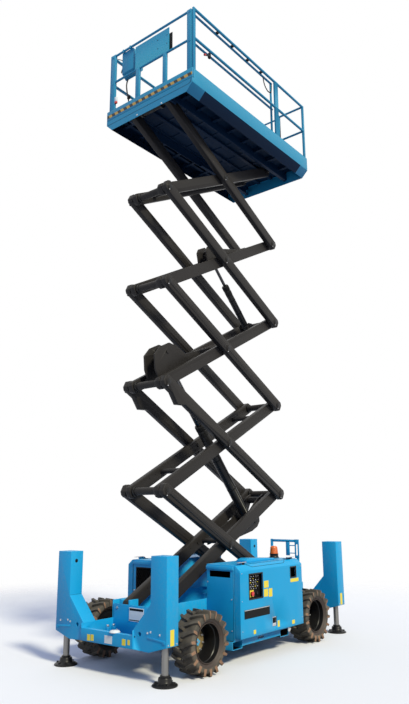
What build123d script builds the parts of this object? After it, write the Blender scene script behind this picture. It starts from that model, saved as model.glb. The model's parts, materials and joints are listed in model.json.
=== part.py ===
from build123d import *
import os
from math import cos, sin, tan, radians, sqrt

# Rough-terrain scissor lift with four outriggers, its platform part raised.
# Units are millimetres.  +X is forward (the steered, extending end), +Y is the
# machine's left side, +Z is up.  The origin is on the ground, midway between
# the two axles.

os.makedirs("parts", exist_ok=True)

# ---------------------------------------------------------------- driving sizes
wheelbase = 2296
axle_x = wheelbase / 2
tyre_radius = 328
tyre_width = 305
wheel_y = 762.5                 # middle of each tyre
hub_z = tyre_radius

arm_length = 2750               # between the end pins of a scissor arm
rest_angle = 27.8               # of every arm to the floor
arm_depth = 150
arm_overhang = 76               # arm end beyond its pin
arm_chamfer = 34
inner_arm_y = (193, 268)        # inner, rising arms: faces of each box section
outer_arm_y = (274, 349)        # outer, falling arms
base_pin_z = 632
levels = 5
pin_radius = 25
running_gap = 0.05              # radial, pins in bores
open_gap = 0.5                  # radial, at the pivots where a loop closes
end_tube_radius = 45
end_tube_half = 186

arm_cos = cos(radians(rest_angle))
arm_sin = sin(radians(rest_angle))
level_height = arm_length * arm_sin
front_pin_x = arm_length * arm_cos / 2
rear_pin_x = -front_pin_x
deck_pin_z = base_pin_z + levels * level_height

rail_y = (330, 410)             # chassis side rails
rail_z = (400, 683)
track_z = (-43, 43)             # slider track about its pin
track_web = 8
chassis_x = (-1630, 1320)
chassis_wall = 12

beam_z = (310, 325)             # floor plate of the outrigger trays
tray_half_width = 400
tower_half_span = (380, 852)
tower_top = 1235
leg_radius = 43.5
leg_y = 755
pad_radius = 130
pad_height = 85

cabinet_x = (-780, 589)
cabinet_y = (412, 812)
cabinet_z = (300, 1070)
door_y = (820, 900)
door_shoulder_z = 1008
sheet = 8
hinge_y = 816
hinge_z = 1084

deck_x = (-1600, 1312)
deck_y = 800
floor_bottom = deck_pin_z + 95
floor_sheet = 6
deck_floor = floor_bottom + floor_sheet
toe_top = deck_floor + 124
skirt_bottom = deck_floor - 196
skirt_knee = deck_floor - 92
rail_top = deck_floor + 1060
rail_mid = deck_floor + 610
post_y = 780
tube_radius = 19

SIDES = ((1, "left"), (-1, "right"))
ENDS = ((1, "front"), (-1, "rear"))


# end: (tower low x, tower high x, tray low x, tray high x)
OUTRIGGERS = {
    "front": (1603, 1783, 1320, 1800),
    "rear": (-2018, -1837, -2018, -1630),
}
stance_middle = sum(low + high for low, high, _, _ in OUTRIGGERS.values()) / 4


def keep(piece, node):
    """Move a finished piece into the stance's frame, label it and write it."""
    piece.part.position += (-stance_middle, 0, 0)
    piece.part.label = node
    export_step(piece.part, f"parts/{node}.step")


def span(low, high):
    """Middle and length of a stretch."""
    return (low + high) / 2, high - low


def block(x, y, z, mode=Mode.ADD):
    """A rectangular block between three (low, high) pairs."""
    (cx, lx), (cy, ly), (cz, lz) = span(*x), span(*y), span(*z)
    with Locations((cx, cy, cz)):
        Box(lx, ly, lz, mode=mode)


def mirrored(pair, side):
    """A (low, high) pair of Y values on the left (1) or right (-1) side."""
    return pair if side > 0 else (-pair[1], -pair[0])


def cross_tube(plane, u, v, radius, y, mode=Mode.ADD):
    """A round bar along Y at (u, v) of an arm's plane, between two Y values."""
    with BuildSketch(plane.offset(y[0])) as end_face:
        with Locations((u, v)):
            Circle(radius)
    extrude(end_face.sketch, amount=y[1] - y[0], mode=mode)


def slab(plane, points, y, mode=Mode.ADD):
    """A flat plate of the given outline in an arm's plane, between two Y values."""
    with BuildSketch(plane.offset(y[0])) as outline:
        Polygon(*points, align=None)
    extrude(outline.sketch, amount=y[1] - y[0], mode=mode)


def profile_x(points, x, mode=Mode.ADD):
    """A (y, z) outline swept straight along X between two X values."""
    with BuildSketch(Plane.YZ.offset(x[0])) as outline:
        Polygon(*points, align=None)
    extrude(outline.sketch, amount=x[1] - x[0], mode=mode)


def profile_y(points, y, mode=Mode.ADD):
    """An (x, z) outline swept straight along Y between two Y values."""
    with BuildSketch(Plane.XZ.offset(-y[1])) as outline:
        Polygon(*points, align=None)
    extrude(outline.sketch, amount=y[1] - y[0], mode=mode)


def rod(centre, radius, length, axis, mode=Mode.ADD):
    """A round bar of a given length, its middle at centre, along an axis."""
    turn = {"x": (0, 90, 0), "y": (90, 0, 0), "z": (0, 0, 0)}[axis]
    with Locations(Location(centre, turn)):
        Cylinder(radius, length, mode=mode)


# ---------------------------------------------------------------------- chassis
front_plate_x = (chassis_x[1] - chassis_wall, chassis_x[1])
rear_plate_x = (chassis_x[0], chassis_x[0] + chassis_wall)
floor_z = (rail_z[0], rail_z[0] + 10)
ear_x = (front_pin_x - 70, front_pin_x + 70)
ear_top = base_pin_z + 58
EARS = ((162, 187), (274, 330))     # low and high Y of the front pivot ears

with BuildPart() as chassis_frame:
    for side, _ in SIDES:
        block(chassis_x, mirrored(rail_y, side), rail_z)
        # the slider's track: a channel in the upper half of the rail
        track_y = mirrored((rail_y[0] - 1, rail_y[1] - track_web), side)
        block(
            (chassis_x[0] + chassis_wall, -330), track_y,
            (base_pin_z + track_z[0], base_pin_z + track_z[1]), mode=Mode.SUBTRACT,
        )
        block((-330, chassis_x[1]), track_y, (rail_z[0] + 90, rail_z[1] + 1), mode=Mode.SUBTRACT)
        # track lips end short of the outer arms
        block(
            (chassis_x[0] + chassis_wall, -330), mirrored((rail_y[0] - 1, 355), side),
            (rail_z[0] + 135, rail_z[1] + 1), mode=Mode.SUBTRACT,
        )
    block(chassis_x, (-rail_y[0], rail_y[0]), floor_z)
    block(front_plate_x, (-390, 390), (beam_z[0], 645))
    block(rear_plate_x, (-tray_half_width, tray_half_width), (beam_z[0], 645))
    for side, _ in SIDES:
        for ear in EARS:
            block(ear_x, mirrored(ear, side), (floor_z[0], ear_top))
        rod((front_pin_x, side * 235, base_pin_z), pin_radius, 130, "y")
keep(chassis_frame, "chassis_frame")

# ---------------------------------------------------- outrigger beams and towers
# Towers are one (y, z) outline along X; the tray runs from them to the chassis.
TOWER = (
    (380, 310), (610, 300), (852, 370), (852, tower_top), (630, tower_top), (630, 760), (380, 490),
)
lip_height = 160
tray_sheet = 10

for end, name in ENDS:
    tower_low, tower_high, tray_low, tray_high = OUTRIGGERS[name]
    leg_x = (tower_low + tower_high) / 2
    tip = tray_high if end > 0 else tray_low
    tip_x = (tip - tray_sheet, tip) if end > 0 else (tip, tip + tray_sheet)
    with BuildPart() as outrigger:
        for side, _ in SIDES:
            profile_x([(side * y, z) for y, z in TOWER], (tower_low, tower_high))
            block(
                (tray_low, tray_high),
                mirrored((tray_half_width - tray_sheet, tray_half_width), side),
                (beam_z[0], beam_z[0] + 180),
            )
        block((tray_low, tray_high), (-tray_half_width, tray_half_width), beam_z)
        block(tip_x, (-tray_half_width, tray_half_width), (beam_z[0], beam_z[0] + lip_height))
        # folded flange along the top of the end lip
        flange = (tip - 60, tip) if end > 0 else (tip, tip + 60)
        block(
            flange, (-tray_half_width, tray_half_width),
            (beam_z[0] + lip_height - tray_sheet, beam_z[0] + lip_height),
        )
        for side, _ in SIDES:
            rod((leg_x, side * leg_y, 750), leg_radius + 1, 920, "z", mode=Mode.SUBTRACT)
            rod((leg_x, side * 482, 463), 22, 1200, "x", mode=Mode.SUBTRACT)
    keep(outrigger, f"outrigger_{name}")

    for side, side_name in SIDES:
        with BuildPart() as leg:
            rod((leg_x, side * leg_y, 335), leg_radius, 560, "z")
            with BuildSketch(Plane.XZ.offset(-side * leg_y)):
                with BuildLine():
                    Polyline(
                        (leg_x, 0), (leg_x + pad_radius, 0), (leg_x + pad_radius, 16),
                        (leg_x + 80, 34), (leg_x + 68, 42), (leg_x + 68, pad_height), (leg_x, pad_height),
                        close=True,
                    )
                make_face()
            revolve(axis=Axis((leg_x, side * leg_y, 0), (0, 0, 1)))
        keep(leg, f"leg_{name}_{side_name}")

# -------------------------------------------------------------- axles and wheels
axle_half = 500
kingpin_y = 612
kingpin_radius = 22
spindle_radius = 34
knuckle_z = (hub_z - 95, hub_z + 95)

with BuildPart() as front_axle:
    block((axle_x - 60, axle_x + 60), (-axle_half, axle_half), (hub_z - 55, hub_z + 55))
    block((axle_x - 90, axle_x + 90), (-300, 300), (hub_z + 55, rail_z[0]))
    for side, _ in SIDES:
        # clevis ears above and below the knuckle
        for z in ((hub_z - 95, hub_z - 62), (hub_z + 38, hub_z + 71)):
            block((axle_x - 38, axle_x + 38), mirrored((axle_half - 80, kingpin_y + 28), side), z)
        rod((axle_x, side * kingpin_y, hub_z - 12), kingpin_radius, 166, "z")
keep(front_axle, "front_axle")

with BuildPart() as rear_axle:
    block((-axle_x - 65, -axle_x + 65), (-520, 520), (hub_z - 60, hub_z + 60))
    block((-axle_x - 90, -axle_x + 90), (-300, 300), (hub_z + 60, rail_z[0]))
    rod((-axle_x, 0, hub_z - 50), 112, 260, "x")
    for side, _ in SIDES:
        rod((-axle_x, side * 560, hub_z), 85, 80, "y")
        rod((-axle_x, side * 650, hub_z), spindle_radius, 110, "y")
keep(rear_axle, "rear_axle")

for side, side_name in SIDES:
    with BuildPart() as knuckle:
        rod((axle_x, side * kingpin_y, hub_z - 12), 36, 90, "z")
        rod((axle_x, side * 672.5, hub_z), spindle_radius, 65, "y")
        rod((axle_x, side * kingpin_y, hub_z - 12), kingpin_radius + running_gap, 100, "z", mode=Mode.SUBTRACT)
    keep(knuckle, f"knuckle_{side_name}")

rim_radius = 202.5
rim_wall = 9
bead_radius = 205             # corners of the bead opening's flats
dish_y = 660                    # inner face of the wheel's disc
WHEELS = [(end * axle_x, side, f"{name}_{side_name}") for end, name in ENDS for side, side_name in SIDES]

tread_radius = 298              # the carcass between the lugs, a ring of flats
tread_flats = 20
bead_flats = 24
carcass_half = 138
bead_half = 112
bead_top = 238
lug_count = 18
lug_size = (34, 156, 34)        # along the tread, across it, out from the wheel
lug_slant = 24
lug_face = 324.6                # flat outer face; its corners reach the tyre's radius

for x, side, name in WHEELS:
    hub = Plane(origin=(x, side * wheel_y, hub_z), x_dir=(1, 0, 0), z_dir=(0, side, 0))
    with BuildPart() as rim:
        with BuildSketch(hub.offset(-110)):
            Circle(rim_radius)
            Circle(rim_radius - rim_wall, mode=Mode.SUBTRACT)
        extrude(amount=220)
        with BuildSketch(hub.offset(dish_y - wheel_y)):
            Circle(rim_radius - rim_wall / 2)
        extrude(amount=14)
        with BuildSketch(hub.offset(dish_y - wheel_y + 14)):
            Circle(125)
        extrude(amount=36)
        with BuildSketch(hub.offset(-wheel_y + 645)):
            Circle(spindle_radius + running_gap)
        extrude(amount=61, mode=Mode.SUBTRACT)
    keep(rim, f"rim_{name}")
    hub_axis = Plane(origin=hub.origin, x_dir=(0, 0, -1), z_dir=(0, 1, 0))
    with BuildPart() as tyre:
        with BuildSketch(hub.offset(-carcass_half)):
            RegularPolygon(tread_radius, tread_flats)
            RegularPolygon(bead_radius, bead_flats, mode=Mode.SUBTRACT)
        extrude(amount=2 * carcass_half)
        for step in (-1, 1):
            with BuildSketch(hub.offset(step * carcass_half)):
                RegularPolygon(bead_top, bead_flats)
            extrude(amount=-step * (carcass_half - bead_half), taper=45, mode=Mode.SUBTRACT)
        lugs = [
            hub_axis.location
            * Location((0, 0, 0), (0, 0, 360 / lug_count * (number + half / 4)))
            * Location((lug_face - lug_size[2] / 2, 0, half * 74), (half * lug_slant, 0, 0))
            for half in (-1, 1)
            for number in range(lug_count)
        ]
        with Locations(*lugs):
            Box(lug_size[2], lug_size[0], lug_size[1])
    keep(tyre, f"tyre_{name}")

# --------------------------------------------------- cabinets, doors and contents
roof_y = cabinet_y[1] - sheet
window = {"control": ((140, 410), (690, 960)), "tank": ((-630, -500), (860, 980))}
HINGES_X = (430, -627)
hinge_length = 70

for side, side_name in SIDES:
    with BuildPart() as cabinet:
        block(cabinet_x, mirrored(cabinet_y, side), cabinet_z)
        block(
            (cabinet_x[0] + sheet, cabinet_x[1] - sheet),
            mirrored((cabinet_y[0] + sheet, cabinet_y[1] + 1), side),
            (cabinet_z[0] + sheet, cabinet_z[1] - sheet), mode=Mode.SUBTRACT,
        )
        # door frame: a lip down the front and rear edges
        for edge in (cabinet_x[0] + 20, cabinet_x[1] - 20):
            block((edge - 20, edge + 20), mirrored((roof_y, cabinet_y[1]), side), cabinet_z)
        if side > 0:
            # air slot in the front sheet
            block(
                (cabinet_x[1] - 2 * sheet, cabinet_x[1] + 1), (460, 760), (930, 1000),
                mode=Mode.SUBTRACT,
            )
        else:
            # radiator opening
            block(
                (cabinet_x[1] - 2 * sheet, cabinet_x[1] + 1), (-757, -450), (700, 980),
                mode=Mode.SUBTRACT,
            )
        for x in HINGES_X:
            block((x - 55, x + 55), mirrored((745, hinge_y - 12), side), (1070, 1076))
            for step in (-1, 1):
                rod((x + step * 42, side * (hinge_y - 2), hinge_z), 8, 26, "x")
                block(
                    (x + step * 42 - 13, x + step * 42 + 13), mirrored((796, hinge_y - 2), side),
                    (1070, hinge_z),
                )
            rod((x, side * (hinge_y - 2), hinge_z), 4, 100, "x")
    keep(cabinet, f"cabinet_{side_name}")

    DOOR = [
        (door_y[0], 330), (door_y[1], 330), (door_y[1], door_shoulder_z), (door_y[0] + 12, 1066),
        (door_y[0], 1066),
    ]
    LINING = [
        (door_y[0] - 1, 330 + sheet), (door_y[1] - sheet, 330 + sheet),
        (door_y[1] - sheet, door_shoulder_z - 4), (door_y[0] + 8, 1066 - sheet),
        (door_y[0] - 1, 1066 - sheet),
    ]
    with BuildPart() as door:
        profile_x([(side * y, z) for y, z in DOOR], cabinet_x)
        profile_x(
            [(side * y, z) for y, z in LINING], (cabinet_x[0] + sheet, cabinet_x[1] - sheet),
            mode=Mode.SUBTRACT,
        )
        for x in HINGES_X:
            rod((x, side * (hinge_y - 2), hinge_z), 8, 54, "x")
            block((x - 27, x + 27), mirrored((hinge_y + 4, door_y[0] + 12), side), (1062, hinge_z))
            block((x - 27, x + 27), mirrored((hinge_y - 2, hinge_y + 8), side), (hinge_z, hinge_z + 8))
            rod((x, side * (hinge_y - 2), hinge_z), 4 + running_gap, 60, "x", mode=Mode.SUBTRACT)
        if side > 0:
            for opening_x, opening_z in window.values():
                block(opening_x, (door_y[1] - 2 * sheet, door_y[1] + 1), opening_z, mode=Mode.SUBTRACT)
        # sunk tray of the paddle latch
        block(
            (-150, -60), mirrored((door_y[1] - 5, door_y[1] + 1), side), (334, 443),
            mode=Mode.SUBTRACT,
        )
        block((-135, -75), mirrored((door_y[1] - 6, door_y[1] - 1), side), (380, 425))
    keep(door, f"door_{side_name}")

with BuildPart() as radiator_grille:
    block((cabinet_x[1] - sheet, cabinet_x[1]), (-757, -450), (700, 980))
    with BuildSketch(Plane.YZ.offset(cabinet_x[1] - sheet - 1)):
        with Locations((-603.5, 840)):
            with GridLocations(54, 52, 5, 5):
                RegularPolygon(24, 4)
    extrude(amount=sheet + 2, mode=Mode.SUBTRACT)
keep(radiator_grille, "radiator_grille")

with BuildPart() as control_panel:
    block((125, 425), (740, 752), (670, 975))
    block((125, 425), (cabinet_y[0] + sheet, 752), (640, 670))
    with BuildSketch(Plane.XZ.offset(-752)):
        with Locations((275, 850)):
            with GridLocations(62, 56, 4, 3):
                Circle(11)
    extrude(amount=-14)
    rod((310, 762, 735), 24, 20, "y")
keep(control_panel, "control_panel")

with BuildPart() as engine:
    block((-560, 380), (-770, -440), (cabinet_z[0] + sheet, 900))
keep(engine, "engine")

with BuildPart() as fork_pockets:
    # two pockets run across under the chassis and are tied by side strips
    for low, high in ((440, 630), (-550, -360)):
        block((low, high), (-640, 640), (208, 300))
        block((low + 8, high - 8), (-641, 641), (216, 292), mode=Mode.SUBTRACT)
    for side, _ in SIDES:
        block((-360, 440), mirrored((632, 640), side), (232, 300))
        block((0, 120), mirrored((631, 641), side), (262, 284), mode=Mode.SUBTRACT)
    for low, high in ((440, 630), (-550, -360)):
        for side, _ in SIDES:
            block((low + 30, high - 30), mirrored((rail_y[0], 400), side), (300, rail_z[0]))
keep(fork_pockets, "fork_pockets")

ladder_y = (-280, 200)
ladder_top = 1250
with BuildPart() as entry_ladder:
    for y in ladder_y:
        rod((-1900, y, (beam_z[1] + ladder_top) / 2), tube_radius, ladder_top - beam_z[1], "z")
    for z in (ladder_top - tube_radius, 940, 640):
        rod((-1900, sum(ladder_y) / 2, z), tube_radius - 3, ladder_y[1] - ladder_y[0], "y")
keep(entry_ladder, "entry_ladder")

with BuildPart() as beacon:
    rod((-720, 520, 1100), 62, 60, "z")
    with Locations((-720, 520, 1130)):
        Cone(55, 46, 90, align=(Align.CENTER, Align.CENTER, Align.MIN))
keep(beacon, "beacon")

# ---------------------------------------------------------------- scissor stack
# Arm planes lie along an arm: x runs from its front pin to its rear one, y is the
# arm's upper side.  Inner arms rise to the rear, outer arms fall to the rear.
ARM = [
    (-arm_overhang + arm_chamfer, -arm_depth / 2), (-arm_overhang, -arm_depth / 2 + arm_chamfer),
    (-arm_overhang, arm_depth / 2 - arm_chamfer), (-arm_overhang + arm_chamfer, arm_depth / 2),
    (arm_length + arm_overhang - arm_chamfer, arm_depth / 2),
    (arm_length + arm_overhang, arm_depth / 2 - arm_chamfer),
    (arm_length + arm_overhang, -arm_depth / 2 + arm_chamfer),
    (arm_length + arm_overhang - arm_chamfer, -arm_depth / 2),
]
GUSSET = [(90, -60), (270, -150), (420, -60)]        # under the front end of arm 2
inner_cross_y = (-inner_arm_y[0] - 20, inner_arm_y[0] + 20)

# level: cross tubes (u, v, radius) of its inner frame
CROSS = {
    1: ((2560, 0, 45), (1480, -30, 32)),
    2: ((550, 0, 32), (2300, 0, 32)),
    3: ((1640, -10, 38), (2600, -20, 32)),
    4: ((1190, 0, 32), (2560, 0, 32)),
    5: ((300, 0, 32), (2350, 0, 32)),
}
OPEN_FRONT = (3, 5)             # inner frames whose front pivot closes a loop
OPEN_REAR = (1, 3)              # inner frames whose rear pivot closes a loop

# Cylinder pins: (level, u, v) of the foot and the eye, on inner frames
LOWER_PINS = ((1, 2273, -172), (3, 432, 288))
UPPER_PINS = ((3, 2450, 60), (4, 1459, 181))
lower_plate_y = (95, 120)
lower_eye_plate_y = (75, 100)
upper_foot_plate_y = (62, 80)
upper_eye_plate_y = (72, 92)
lower_foot_pin = 30
lower_eye_pin = 26
upper_foot_pin = 20
upper_eye_pin = 16

FOOT_PLATE = [
    (1440, -70), (2150, -262), (2290, -272), (2375, -235), (2400, -170), (2640, -10), (2640, 55),
    (2480, 60), (2050, -30), (1500, 10),
]
EYE_PLATE = [
    (118, -40), (118, 160), (190, 330), (330, 385), (520, 380), (640, 300), (760, 150),
    (1100, 100), (1690, 30), (1690, -50), (1500, -60), (900, -20), (300, -60),
]
UPPER_FOOT_PLATE = [(2370, -60), (2380, 100), (2440, 125), (2520, 90), (2640, 10), (2640, -60)]
UPPER_EYE_PLATE = [
    (1235, -60), (1310, 215), (1370, 262), (1530, 262), (1620, 190), (2260, 60), (2260, 0), (1700, -60),
]


def inner_plane(level):
    """Plane along the inner arms of a level, on the machine's middle."""
    origin = (front_pin_x, 0, base_pin_z + (level - 1) * level_height)
    return Plane(origin=origin, x_dir=(-arm_cos, 0, arm_sin), z_dir=(0, 1, 0))


def outer_plane(level):
    """Plane along the outer arms of a level, on the machine's middle."""
    origin = (front_pin_x, 0, base_pin_z + level * level_height)
    return Plane(origin=origin, x_dir=(-arm_cos, 0, -arm_sin), z_dir=(0, 1, 0))


for level in range(1, levels + 1):
    plane = inner_plane(level)
    with BuildPart() as inner_arms:
        for side, _ in SIDES:
            slab(plane, ARM, mirrored(inner_arm_y, side))
        for u, v, radius in CROSS[level]:
            cross_tube(plane, u, v, radius, inner_cross_y)
        for side, _ in SIDES:
            if level == 1:
                slab(plane, FOOT_PLATE, mirrored(lower_plate_y, side))
            if level == 3:
                slab(plane, EYE_PLATE, mirrored(lower_eye_plate_y, side))
                slab(plane, UPPER_FOOT_PLATE, mirrored(upper_foot_plate_y, side))
                cross_tube(plane, 190, 0, 30, mirrored((lower_eye_plate_y[1] - 10, 213), side))
                cross_tube(plane, 432, 288, lower_eye_pin, mirrored((67, 112), side))
            if level == 4:
                slab(plane, UPPER_EYE_PLATE, mirrored(upper_eye_plate_y, side))
                for u in (1285, 1800):
                    cross_tube(plane, u, -20, 30, mirrored((upper_eye_plate_y[1] - 10, 213), side))
                cross_tube(plane, 1459, 181, upper_eye_pin, mirrored((34, 104), side))
        if level == 1:
            cross_tube(plane, 2273, -172, lower_foot_pin, (-132, 132))
        if level == 3:
            cross_tube(plane, 2450, 60, upper_foot_pin, (-90, 90))
        if level == 5:
            # the rear pins carry the deck sliders
            for side, _ in SIDES:
                cross_tube(plane, arm_length, 0, pin_radius, mirrored((inner_arm_y[1] - 20, 400), side))
            cross_tube(plane, arm_length, 0, end_tube_radius, inner_cross_y)
        front_gap = open_gap if level in OPEN_FRONT else running_gap
        rear_gap = open_gap if level in OPEN_REAR else running_gap
        bores = [(0, front_gap), (arm_length / 2, running_gap)]
        if level < levels:
            bores.append((arm_length, rear_gap))
        for u, gap in bores:
            for side, _ in SIDES:
                cross_tube(
                    plane, u, 0, pin_radius + gap,
                    mirrored((inner_arm_y[0] - 1, inner_arm_y[1] + 1), side), mode=Mode.SUBTRACT,
                )
    keep(inner_arms, f"inner_arms_{level}")

    plane = outer_plane(level)
    with BuildPart() as outer_arms:
        for side, _ in SIDES:
            slab(plane, ARM, mirrored(outer_arm_y, side))
            if level == 2:
                slab(plane, GUSSET, mirrored(outer_arm_y, side))
            # middle pin, from the outer arm through the inner one
            cross_tube(plane, arm_length / 2, 0, pin_radius, mirrored((182, outer_arm_y[1] + 7), side))
        for u in (0, arm_length):
            pin_end = 400 if level == 1 and u else outer_arm_y[1] + 7
            if level == levels and not u:
                pin_end = 386
            cross_tube(plane, u, 0, pin_radius, (-pin_end, pin_end))
            cross_tube(plane, u, 0, end_tube_radius, (-end_tube_half, end_tube_half))
    keep(outer_arms, f"outer_arms_{level}")

slider_half = (38, 38)
SLIDERS = {"base_slider": base_pin_z, "deck_slider": deck_pin_z}
for node, pin_z in SLIDERS.items():
    with BuildPart() as slider:
        for side, _ in SIDES:
            block(
                (rear_pin_x - slider_half[0], rear_pin_x + slider_half[0]), mirrored((361, 397), side),
                (pin_z - slider_half[1], pin_z + slider_half[1]),
            )
        rod((rear_pin_x, 0, pin_z), pin_radius + running_gap, 1000, "y", mode=Mode.SUBTRACT)
    keep(slider, node)


def pin_place(pin):
    """(x, z) of a cylinder pin from its (level, u, v)."""
    level, u, v = pin
    point = inner_plane(level).from_local_coords((u, v, 0))
    return point.X, point.Z


# cylinder: (foot and eye pins, barrel radius and length, rod radius and its foot's place in
# the barrel, eye half width and radius, foot pin radius, eye pin bore)
CYLINDERS = {
    "lower": (LOWER_PINS, 65, 1660, 45, 850, 60, 62, lower_foot_pin, lower_eye_pin),
    "upper": (UPPER_PINS, 48, 745, 22, 410, 28, 40, upper_foot_pin, upper_eye_pin),
}
for name, sizes in CYLINDERS.items():
    pins, barrel_radius, barrel_length, rod_radius, rod_foot, eye_half, eye_radius, foot_pin, eye_pin = sizes
    (foot_x, foot_z), (eye_x, eye_z) = (pin_place(pin) for pin in pins)
    length = sqrt((eye_x - foot_x) ** 2 + (eye_z - foot_z) ** 2)
    along = ((eye_x - foot_x) / length, 0, (eye_z - foot_z) / length)
    line = Plane(origin=(foot_x, 0, foot_z), x_dir=(0, 1, 0), z_dir=along)
    eye = Plane(origin=(eye_x, 0, eye_z), x_dir=(0, 1, 0), z_dir=along)
    with BuildPart() as barrel:
        with BuildSketch(line.offset(30)):
            Circle(barrel_radius)
        extrude(amount=barrel_length - 30)
        with BuildSketch(Plane(origin=(foot_x, -barrel_radius, foot_z), x_dir=along, z_dir=(0, 1, 0))):
            Circle(barrel_radius + 6)
        extrude(amount=2 * barrel_radius)
        rod((foot_x, 0, foot_z), foot_pin + running_gap, 200, "y", mode=Mode.SUBTRACT)
        with BuildSketch(line.offset(110)):
            Circle(rod_radius + 0.3)
        extrude(amount=barrel_length, mode=Mode.SUBTRACT)
    keep(barrel, f"{name}_cylinder")
    with BuildPart() as ram:
        with BuildSketch(line.offset(rod_foot)):
            Circle(rod_radius)
        extrude(amount=length - rod_foot)
        with BuildSketch(Plane(origin=(eye_x, -eye_half, eye_z), x_dir=along, z_dir=(0, 1, 0))):
            Circle(eye_radius)
        extrude(amount=2 * eye_half)
        rod((eye_x, 0, eye_z), eye_pin + 1, 200, "y", mode=Mode.SUBTRACT)
    keep(ram, f"{name}_rod")

# --------------------------------------------------------------------- platform
SKIRT = [
    (deck_y, toe_top), (deck_y, skirt_knee), (deck_y - 105, skirt_bottom),
    (deck_y - 105, skirt_bottom + 6), (deck_y - 6, skirt_knee + 3), (deck_y - 6, toe_top),
]
front_sheet = 5
rib_x = (-1350, -1000, -650, -300, 50, 400, 750, 1080)
ext_floor = (deck_floor + 5, deck_floor + 11)
ext_x = (-700, 1290)
rear_floor_x = (-1540, ext_x[0] - 8)
rear_floor_y = 690
notch_half = 420

with BuildPart() as platform_deck:
    block(deck_x, (-deck_y + 3, deck_y - 3), (floor_bottom, deck_floor))
    for side, _ in SIDES:
        profile_x([(side * y, z) for y, z in SKIRT], deck_x)
        # slider track and its rear and front hangers
        block(
            (deck_x[0] + 6, deck_x[1] - 6), mirrored((354, 412), side),
            (deck_pin_z - 52, floor_bottom),
        )
        block(
            (deck_x[0] + 5, -330), mirrored((353, 402), side),
            (deck_pin_z + track_z[0], deck_pin_z + track_z[1]), mode=Mode.SUBTRACT,
        )
        block(
            (-330, deck_x[1] - 5), mirrored((353, 402), side),
            (deck_pin_z - 60, floor_bottom - 20), mode=Mode.SUBTRACT,
        )
        block(
            (deck_x[0], -330), mirrored((353, 359), side), (deck_pin_z - 60, floor_bottom - 5),
            mode=Mode.SUBTRACT,
        )
        for x in rib_x:
            block((x - 4, x + 4), mirrored((412, deck_y - 6), side), (floor_bottom - 70, floor_bottom))
        # front pivot ear
        block(
            (front_pin_x - 60, front_pin_x + 60), mirrored((361, 392), side),
            (deck_pin_z - 60, floor_bottom),
        )
        rod((front_pin_x, side * 370, deck_pin_z), pin_radius + running_gap, 60, "y", mode=Mode.SUBTRACT)
    block((deck_x[1] - 4, deck_x[1]), (-deck_y + 105, deck_y - 105), (skirt_bottom, skirt_knee + 68))
    block((deck_x[1] - 4, deck_x[1]), (-deck_y + 3, deck_y - 3), (skirt_knee, skirt_knee + 68))
    for side, _ in SIDES:
        block(
            (deck_x[0], deck_x[0] + 5), mirrored((notch_half, deck_y - 105), side),
            (skirt_bottom, toe_top),
        )
        block(
            (deck_x[0], deck_x[0] + 5), mirrored((deck_y - 106, deck_y - 3), side), (skirt_knee, toe_top),
        )
    block((deck_x[0], deck_x[0] + 5), (-notch_half, notch_half), (floor_bottom, toe_top))
    # the extension's front board stands in front of the side boards
    block(
        (deck_x[1] - 28, deck_x[1] + 1), (-deck_y - 1, deck_y + 1), (skirt_knee + 68, toe_top + 1),
        mode=Mode.SUBTRACT,
    )
    # the rear floor sheet is level with the extension's
    block((rear_floor_x[0], rear_floor_x[1]), (-rear_floor_y, rear_floor_y), (deck_floor, ext_floor[1]))
keep(platform_deck, "platform_deck")

post_half = 20
front_post_x = 1256
mid_post_x = -750
rear_post_x = -1570
gate_y = (-300, 300)

with BuildPart() as guardrail:
    for side, _ in SIDES:
        y = side * post_y
        for z in (rail_top, rail_mid):
            rod(((front_post_x + rear_post_x) / 2, y, z), tube_radius, front_post_x - rear_post_x, "x")
        for x, half in ((front_post_x, 20), (mid_post_x, 45), (rear_post_x, 20)):
            block(
                (x - half, x + half), mirrored((post_y - 14, post_y + 14), side),
                (deck_floor, rail_top + tube_radius - 4),
            )
        for z in (rail_top, rail_mid):
            low, high = sorted((y, side * (gate_y[1] + 25)))
            rod((rear_post_x, (low + high) / 2, z), tube_radius - 2, high - low, "y")
        block(
            (rear_post_x - 18, rear_post_x + 18), mirrored((gate_y[1] + 8, gate_y[1] + 40), side),
            (deck_floor, rail_top + tube_radius - 2),
        )
keep(guardrail, "guardrail")

with BuildPart() as gate:
    for z in (rail_top - 30, rail_mid - 8, deck_floor + 130):
        rod((rear_post_x, sum(gate_y) / 2, z), 14, gate_y[1] - gate_y[0] - 44, "y")
    for y in (gate_y[0] + 22, gate_y[1] - 22):
        rod((rear_post_x, y, (rail_top + deck_floor) / 2 + 45), 16, rail_top - deck_floor - 90, "z")
keep(gate, "gate")

# extension: slides forward inside the main rails
ext_y = 735
with BuildPart() as extension_deck:
    block(ext_x, (-ext_y, ext_y), ext_floor)
    for side, _ in SIDES:
        block((ext_x[0], deck_x[1] - 20), mirrored((ext_y - 6, ext_y), side), (ext_floor[0], ext_floor[1] + 95))
    block(
        (deck_x[1] - 23, deck_x[1]), (-deck_y, deck_y), (skirt_knee + 73, toe_top),
    )
keep(extension_deck, "extension_deck")

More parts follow.
